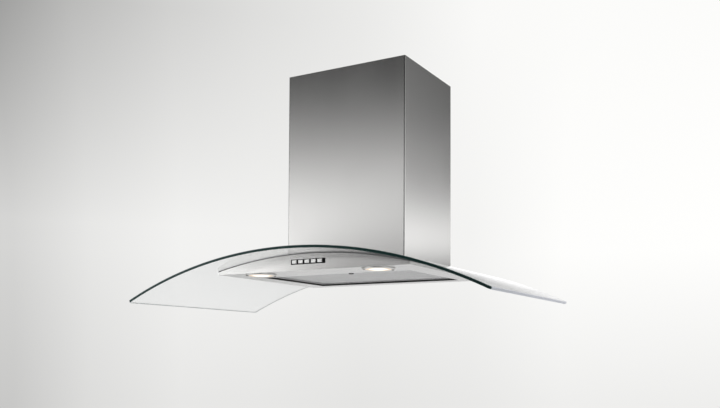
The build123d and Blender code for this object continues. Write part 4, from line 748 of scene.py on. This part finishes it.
def trimmer(face, half_x, half_y, middle, grow_sign):
    """A solid round a flat outline: it leans in or out at both faces, which leaves the arris."""
    lift = glass_math("ADD", glass_in["Arris"], CUTTER_OVERRUN)
    reach = glass_math("MULTIPLY", lift, grow_sign)
    lean = glass_vector("DIVIDE", compose(reach, reach, 0.0), compose(half_x, half_y, 1.0))
    inwards = glass_vector("ADD", lean, (1.0, 1.0, 1.0))
    outwards = glass_vector("DIVIDE", (1.0, 1.0, 1.0), inwards)
    below = negative(glass_math("ADD", glass_in["Thickness"], CUTTER_OVERRUN))
    base = moved(face, glass_vector("ADD", middle, compose(0.0, 0.0, below)), inwards)
    both_arrises = glass_math("MULTIPLY", glass_in["Arris"], 2.0)
    straight = glass_math("SUBTRACT", glass_in["Thickness"], both_arrises)
    shape, top = base, True
    for height_step, factor in ((lift, outwards), (straight, None), (lift, inwards)):
        step = add(glass_tree, "GeometryNodeExtrudeMesh", {
            "Mesh": shape, "Selection": top, "Offset": (0.0, 0.0, 1.0),
            "Offset Scale": height_step, "Individual": False,
        })
        shape, top = step.outputs["Mesh"], step.outputs["Top"]
        if factor is not None:
            local = glass_vector("SUBTRACT", glass_node("GeometryNodeInputPosition"), middle)
            spread = glass_vector("ADD", glass_vector("MULTIPLY", local, factor), middle)
            placed = {"Geometry": shape, "Selection": top, "Position": spread}
            shape = glass_node("GeometryNodeSetPosition", placed)
    bottom = glass_node("GeometryNodeFlipFaces", {0: base})
    joined = add(glass_tree, "GeometryNodeJoinGeometry")
    glass_tree.links.new(shape, joined.inputs[0])
    glass_tree.links.new(bottom, joined.inputs[0])
    closed = {"Geometry": joined.outputs[0], "Distance": MERGE_DISTANCE}
    return glass_node("GeometryNodeMergeByDistance", closed)


def rounded_face(width, depth, radius, points):
    """A filled flat rectangle with rounded corners; its long sides get many points, so they can bend."""
    outline = glass_node("GeometryNodeCurvePrimitiveQuadrilateral", {"Width": width, "Height": depth})
    fillet = {"Curve": outline, "Count": points, "Radius": radius, "Limit Radius": True}
    outline = glass_node("GeometryNodeFilletCurve", fillet, mode="POLY")
    sizes = add(glass_tree, "GeometryNodeAttributeDomainSize", {"Geometry": outline}, component="CURVE")
    after = glass_math("ADD", glass_node("GeometryNodeInputIndex"), 1.0)
    following = glass_math("MODULO", after, sizes.outputs["Point Count"])
    here = glass_node("GeometryNodeInputPosition")
    lookup = {"Index": following, "Value": here}
    there = glass_node("GeometryNodeFieldAtIndex", lookup, data_type="FLOAT_VECTOR", domain="POINT")
    apart = add(glass_tree, "ShaderNodeVectorMath", {0: here, 1: there}, operation="DISTANCE")
    cuts = glass_math("FLOOR", glass_math("DIVIDE", apart.outputs["Value"], glass_in["Side Step"]))
    outline = glass_node("GeometryNodeSubdivideCurve", {"Curve": outline, "Cuts": cuts})
    return glass_node("GeometryNodeFillCurve", {"Curve": outline}, mode="NGONS")


print("glass half length in mm:", round(1000 * GLASS_HALF_LENGTH, 1))

# %% Geometry tree: trim, drill, bend
OUTLINE_CORNER_POINTS = 7
CUTOUT_CORNER_POINTS = 8
BOLT_HOLE_POINTS = 28
half_depth = glass_math("MULTIPLY", glass_in["Depth"], 0.5)
length = glass_math("MULTIPLY", glass_in["Half Length"], 2.0)
sheet_middle = compose(0.0, negative(half_depth), 0.0)
outline_face = rounded_face(length, glass_in["Depth"], glass_in["Corner Radius"], OUTLINE_CORNER_POINTS)
outline = trimmer(outline_face, glass_in["Half Length"], half_depth, sheet_middle, -1.0)

sheet_size = compose(length, glass_in["Depth"], glass_in["Thickness"])
blank_size = glass_vector("ADD", sheet_size, (BLANK_MARGIN, BLANK_MARGIN, 0.0))
blank = glass_node("GeometryNodeMeshCube", {"Size": blank_size, "Vertices X": glass_in["Columns"]})
half_down = glass_math("MULTIPLY", glass_in["Thickness"], -0.5)
blank = moved(blank, glass_vector("ADD", sheet_middle, compose(0.0, 0.0, half_down)))
trimmed = add(glass_tree, "GeometryNodeMeshBoolean", operation="INTERSECT", solver="EXACT")
glass_tree.links.new(blank, trimmed.inputs["Mesh 2"])
glass_tree.links.new(outline, trimmed.inputs["Mesh 2"])

cutout_halves = glass_vector("MULTIPLY", glass_in["Cutout Size"], (0.5, 0.5, 0.5))
cutout_half = separate_node(glass_tree, cutout_halves)
cutout_size = separate_node(glass_tree, glass_in["Cutout Size"])
cutout_face = rounded_face(cutout_size[0], cutout_size[1], glass_in["Cutout Radius"], CUTOUT_CORNER_POINTS)
cutters = [trimmer(cutout_face, cutout_half[0], cutout_half[1], glass_in["Cutout Middle"], 1.0)]
ring = {"Resolution": BOLT_HOLE_POINTS, "Radius": glass_in["Bolt Radius"]}
hole_outline = glass_node("GeometryNodeCurvePrimitiveCircle", ring)
hole_face = glass_node("GeometryNodeFillCurve", {"Curve": hole_outline}, mode="NGONS")
bolt_depths = separate_node(glass_tree, glass_in["Bolt Depths"])
for side_sign in (-1.0, 1.0):
    for bolt_depth in bolt_depths[:2]:
        across = glass_math("MULTIPLY", glass_in["Bolt Half Width"], side_sign)
        spot = compose(across, negative(bolt_depth), 0.0)
        cutters.append(trimmer(hole_face, glass_in["Bolt Radius"], glass_in["Bolt Radius"], spot, 1.0))
cut = {"Mesh 1": trimmed.outputs[0]}
drilled = add(glass_tree, "GeometryNodeMeshBoolean", cut, operation="DIFFERENCE", solver="EXACT")
for cutter in cutters:
    glass_tree.links.new(cutter, drilled.inputs["Mesh 2"])

FACE_NORMAL_LIMIT = 0.95
up_share = glass_math("ABSOLUTE", separate_node(glass_tree, glass_node("GeometryNodeInputNormal"))[2])
facing = {0: up_share, 1: FACE_NORMAL_LIMIT}
is_edge = glass_node("FunctionNodeCompare", facing, data_type="FLOAT", operation="LESS_THAN")
marking = {"Geometry": drilled.outputs[0], "Name": "ground_edge", "Value": is_edge}
marked = glass_node("GeometryNodeStoreNamedAttribute", marking, data_type="BOOLEAN", domain="FACE")

flat = separate_node(glass_tree, glass_node("GeometryNodeInputPosition"))
turn = glass_math("DIVIDE", flat[0], glass_in["Bend Radius"])
reach = glass_math("ADD", glass_in["Bend Radius"], flat[2])
bent_x = glass_math("MULTIPLY", reach, glass_math("SINE", turn))
bent_z = glass_math("ADD", glass_math("MULTIPLY", reach, glass_math("COSINE", turn)), glass_in["Arc Height"])
bending = {"Geometry": marked, "Position": compose(bent_x, flat[1], bent_z)}
bent = glass_node("GeometryNodeSetPosition", bending)

SHARP_ANGLE = math.radians(24)
corner = {0: glass_node("GeometryNodeInputMeshEdgeAngle"), 1: SHARP_ANGLE}
is_sharp = glass_node("FunctionNodeCompare", corner, data_type="FLOAT", operation="GREATER_THAN")
smooth = glass_node("GeometryNodeSetShadeSmooth", {0: bent, "Shade Smooth": True}, domain="FACE")
creased = {0: smooth, "Selection": is_sharp, "Shade Smooth": False}
smooth = glass_node("GeometryNodeSetShadeSmooth", creased, domain="EDGE")
whole = glass_node("GeometryNodeRealizeInstances", {0: smooth})
faced = glass_node("GeometryNodeSetMaterial", {"Geometry": whole, "Material": FINISH["canopy_glass"]})
edge_mask = glass_node("GeometryNodeInputNamedAttribute", {"Name": "ground_edge"}, data_type="BOOLEAN")
edge_finish = {"Geometry": faced, "Selection": edge_mask, "Material": FINISH["glass_edge"]}
glass_tree.links.new(glass_node("GeometryNodeSetMaterial", edge_finish), glass_out[0])

BOLT_HALF_WIDTH = 0.138
CUTOUT_HALF_WIDTH = 0.122
CUTOUT_DEPTH = 0.2
bolt_place_on_arc = GLASS_RADIUS * math.asin(BOLT_HALF_WIDTH / GLASS_RADIUS)
cutout_half_on_arc = GLASS_RADIUS * math.asin(CUTOUT_HALF_WIDTH / GLASS_RADIUS)
canopy = grow_piece("canopy_sheet", glass_tree, {
    "Half Length": GLASS_HALF_LENGTH,
    "Depth": GLASS_DEPTH,
    "Thickness": GLASS_THICKNESS,
    "Bend Radius": GLASS_RADIUS,
    "Arc Height": ARC_MIDDLE_HEIGHT,
    "Arris": GLASS_ARRIS,
    "Cutout Size": (2 * cutout_half_on_arc, CUTOUT_DEPTH, 0.0),
    "Bolt Half Width": bolt_place_on_arc,
})
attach(canopy, "hood")
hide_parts("glass_canopy")
print("glass triangles:", triangles(canopy), "materials:", [m.name for m in canopy.data.materials if m])

# %% [markdown]
# ## The grease mesh
# A grease filter holds layers of expanded aluminium: a sheet is slit and pulled, and each strip
# between two rows of slits becomes a zigzag strand that touches its neighbours at the bonds.
# So one zigzag strand is made and set in rows, each row mirrored, and the rows are stacked in
# layers. The strands rise and fall a little, as pulled metal does, so that bonds overlap.

# %% Geometry tree: expanded mesh
SURFACE_MARGIN = 0.0008
mesh_low, mesh_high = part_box("filter_mesh")
mesh_tree, mesh_in, mesh_out = new_tree(
    "expanded_mesh",
    "GeometryNodeTree",
    [
        ("Low Corner", "NodeSocketVector", (0.0, 0.0, 0.0)),
        ("High Corner", "NodeSocketVector", (1.0, 1.0, 1.0)),
        ("Zigzags", "NodeSocketInt", 38),
        ("Rows", "NodeSocketInt", 88),
        ("Layers", "NodeSocketInt", 3),
        ("Strand Width", "NodeSocketFloat", 0.0013),
        ("Strand Thickness", "NodeSocketFloat", 0.0004),
        ("Ripple", "NodeSocketFloat", 0.0004),
    ],
    [("Geometry", "NodeSocketGeometry")],
)


def mesh_math(operation, first, second=0.0):
    """One arithmetic step in the mesh tree."""
    return math_node(mesh_tree, operation, first, second)


def mesh_node(kind, inputs=None):
    """One node in the mesh tree; returns its first output."""
    return add(mesh_tree, kind, inputs).outputs[0]


extent = vector_node(mesh_tree, "SUBTRACT", mesh_in["High Corner"], mesh_in["Low Corner"])
wide, deep_y, tall = separate_node(mesh_tree, extent)
rows_and_slips = mesh_math("ADD", mesh_in["Rows"], mesh_math("MULTIPLY", mesh_in["Layers"], 0.5))
row_pitch = mesh_math("DIVIDE", deep_y, rows_and_slips)
line = mesh_node("GeometryNodeCurvePrimitiveLine", {"End": combine_node(mesh_tree, x=wide)})
points = mesh_math("ADD", mesh_math("MULTIPLY", mesh_in["Zigzags"], 2.0), 1.0)
line = mesh_node("GeometryNodeResampleCurve", {"Curve": line, "Count": points})
half_swing = mesh_math("SUBTRACT", mesh_math("MODULO", mesh_node("GeometryNodeInputIndex"), 2.0), 0.5)
swing_y = mesh_math("MULTIPLY", half_swing, row_pitch)
swing_z = mesh_math("MULTIPLY", half_swing, mesh_in["Ripple"])
offset = combine_node(mesh_tree, y=swing_y, z=swing_z)
zigzag = mesh_node("GeometryNodeSetPosition", {"Geometry": line, "Offset": offset})
section = {"Width": mesh_in["Strand Width"], "Height": mesh_in["Strand Thickness"]}
strip = mesh_node("GeometryNodeCurvePrimitiveQuadrilateral", section)
swept = {"Curve": zigzag, "Profile Curve": strip, "Fill Caps": True}
strand = mesh_node("GeometryNodeCurveToMesh", swept)

row_step = combine_node(mesh_tree, y=row_pitch)
row_line = mesh_node("GeometryNodeMeshLine", {"Count": mesh_in["Rows"], "Offset": row_step})
row_odd = mesh_math("MODULO", mesh_node("GeometryNodeInputIndex"), 2.0)
mirrored = mesh_math("SUBTRACT", 1.0, mesh_math("MULTIPLY", row_odd, 2.0))
row_scale = combine_node(mesh_tree, 1.0, mirrored, mirrored)
set_rows = {"Points": row_line, "Instance": strand, "Scale": row_scale}
layer = mesh_node("GeometryNodeRealizeInstances", {0: mesh_node("GeometryNodeInstanceOnPoints", set_rows)})

free_height = mesh_math("SUBTRACT", tall, 2 * SURFACE_MARGIN)
layer_gap = mesh_math("DIVIDE", free_height, mesh_math("SUBTRACT", mesh_in["Layers"], 1.0))
layer_slip = mesh_math("MULTIPLY", row_pitch, 0.5)
first_row = mesh_math("ADD", layer_slip, mesh_math("MULTIPLY", mesh_in["Strand Width"], 0.5))
first_place = combine_node(mesh_tree, y=first_row, z=SURFACE_MARGIN)
stack_line = mesh_node("GeometryNodeMeshLine", {
    "Count": mesh_in["Layers"],
    "Start Location": vector_node(mesh_tree, "ADD", mesh_in["Low Corner"], first_place),
    "Offset": combine_node(mesh_tree, y=layer_slip, z=layer_gap),
})
stack = mesh_node("GeometryNodeInstanceOnPoints", {"Points": stack_line, "Instance": layer})
whole = mesh_node("GeometryNodeRealizeInstances", {0: stack})
finish_all = {"Geometry": whole, "Material": FINISH["mesh_aluminium"]}
mesh_tree.links.new(mesh_node("GeometryNodeSetMaterial", finish_all), mesh_out[0])

grease_mesh = grow_piece("grease_mesh", mesh_tree, {
    "Low Corner": tuple(mesh_low),
    "High Corner": tuple(mesh_high),
})
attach(grease_mesh, "filter")
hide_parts("filter_mesh")
print("grease mesh triangles:", triangles(grease_mesh))

# %% [markdown]
# ## The floor
# A pale, matt floor stands for the room under the hood. It isn't part of the object.
# Its paint is a little uneven, as a rolled coat is.

# %% Floor
finish, tree, shader, place = new_finish("floor_paint")
roll = noise_node(tree, place, 3.0, 5.0)
tree.links.new(tint_node(tree, roll, gray(0.92), gray(0.95)), shader.inputs["Base Color"])
tree.links.new(span_node(tree, roll, 0.0, 1.0, 0.75, 0.9), shader.inputs["Roughness"])
floor_mesh = bpy.data.meshes.new("floor")
FLOOR_SIDES = 96
rim = []
for corner_index in range(FLOOR_SIDES):
    around = 2 * math.pi * corner_index / FLOOR_SIDES
    rim.append((FLOOR_RADIUS * math.cos(around), FLOOR_RADIUS * math.sin(around), FLOOR_LEVEL))
floor_mesh.from_pydata(rim, [], [list(range(FLOOR_SIDES))])
floor_mesh.materials.append(finish)
floor = bpy.data.objects.new("floor", floor_mesh)
scene.collection.objects.link(floor)
print("floor level in mm:", round(1000 * FLOOR_LEVEL))
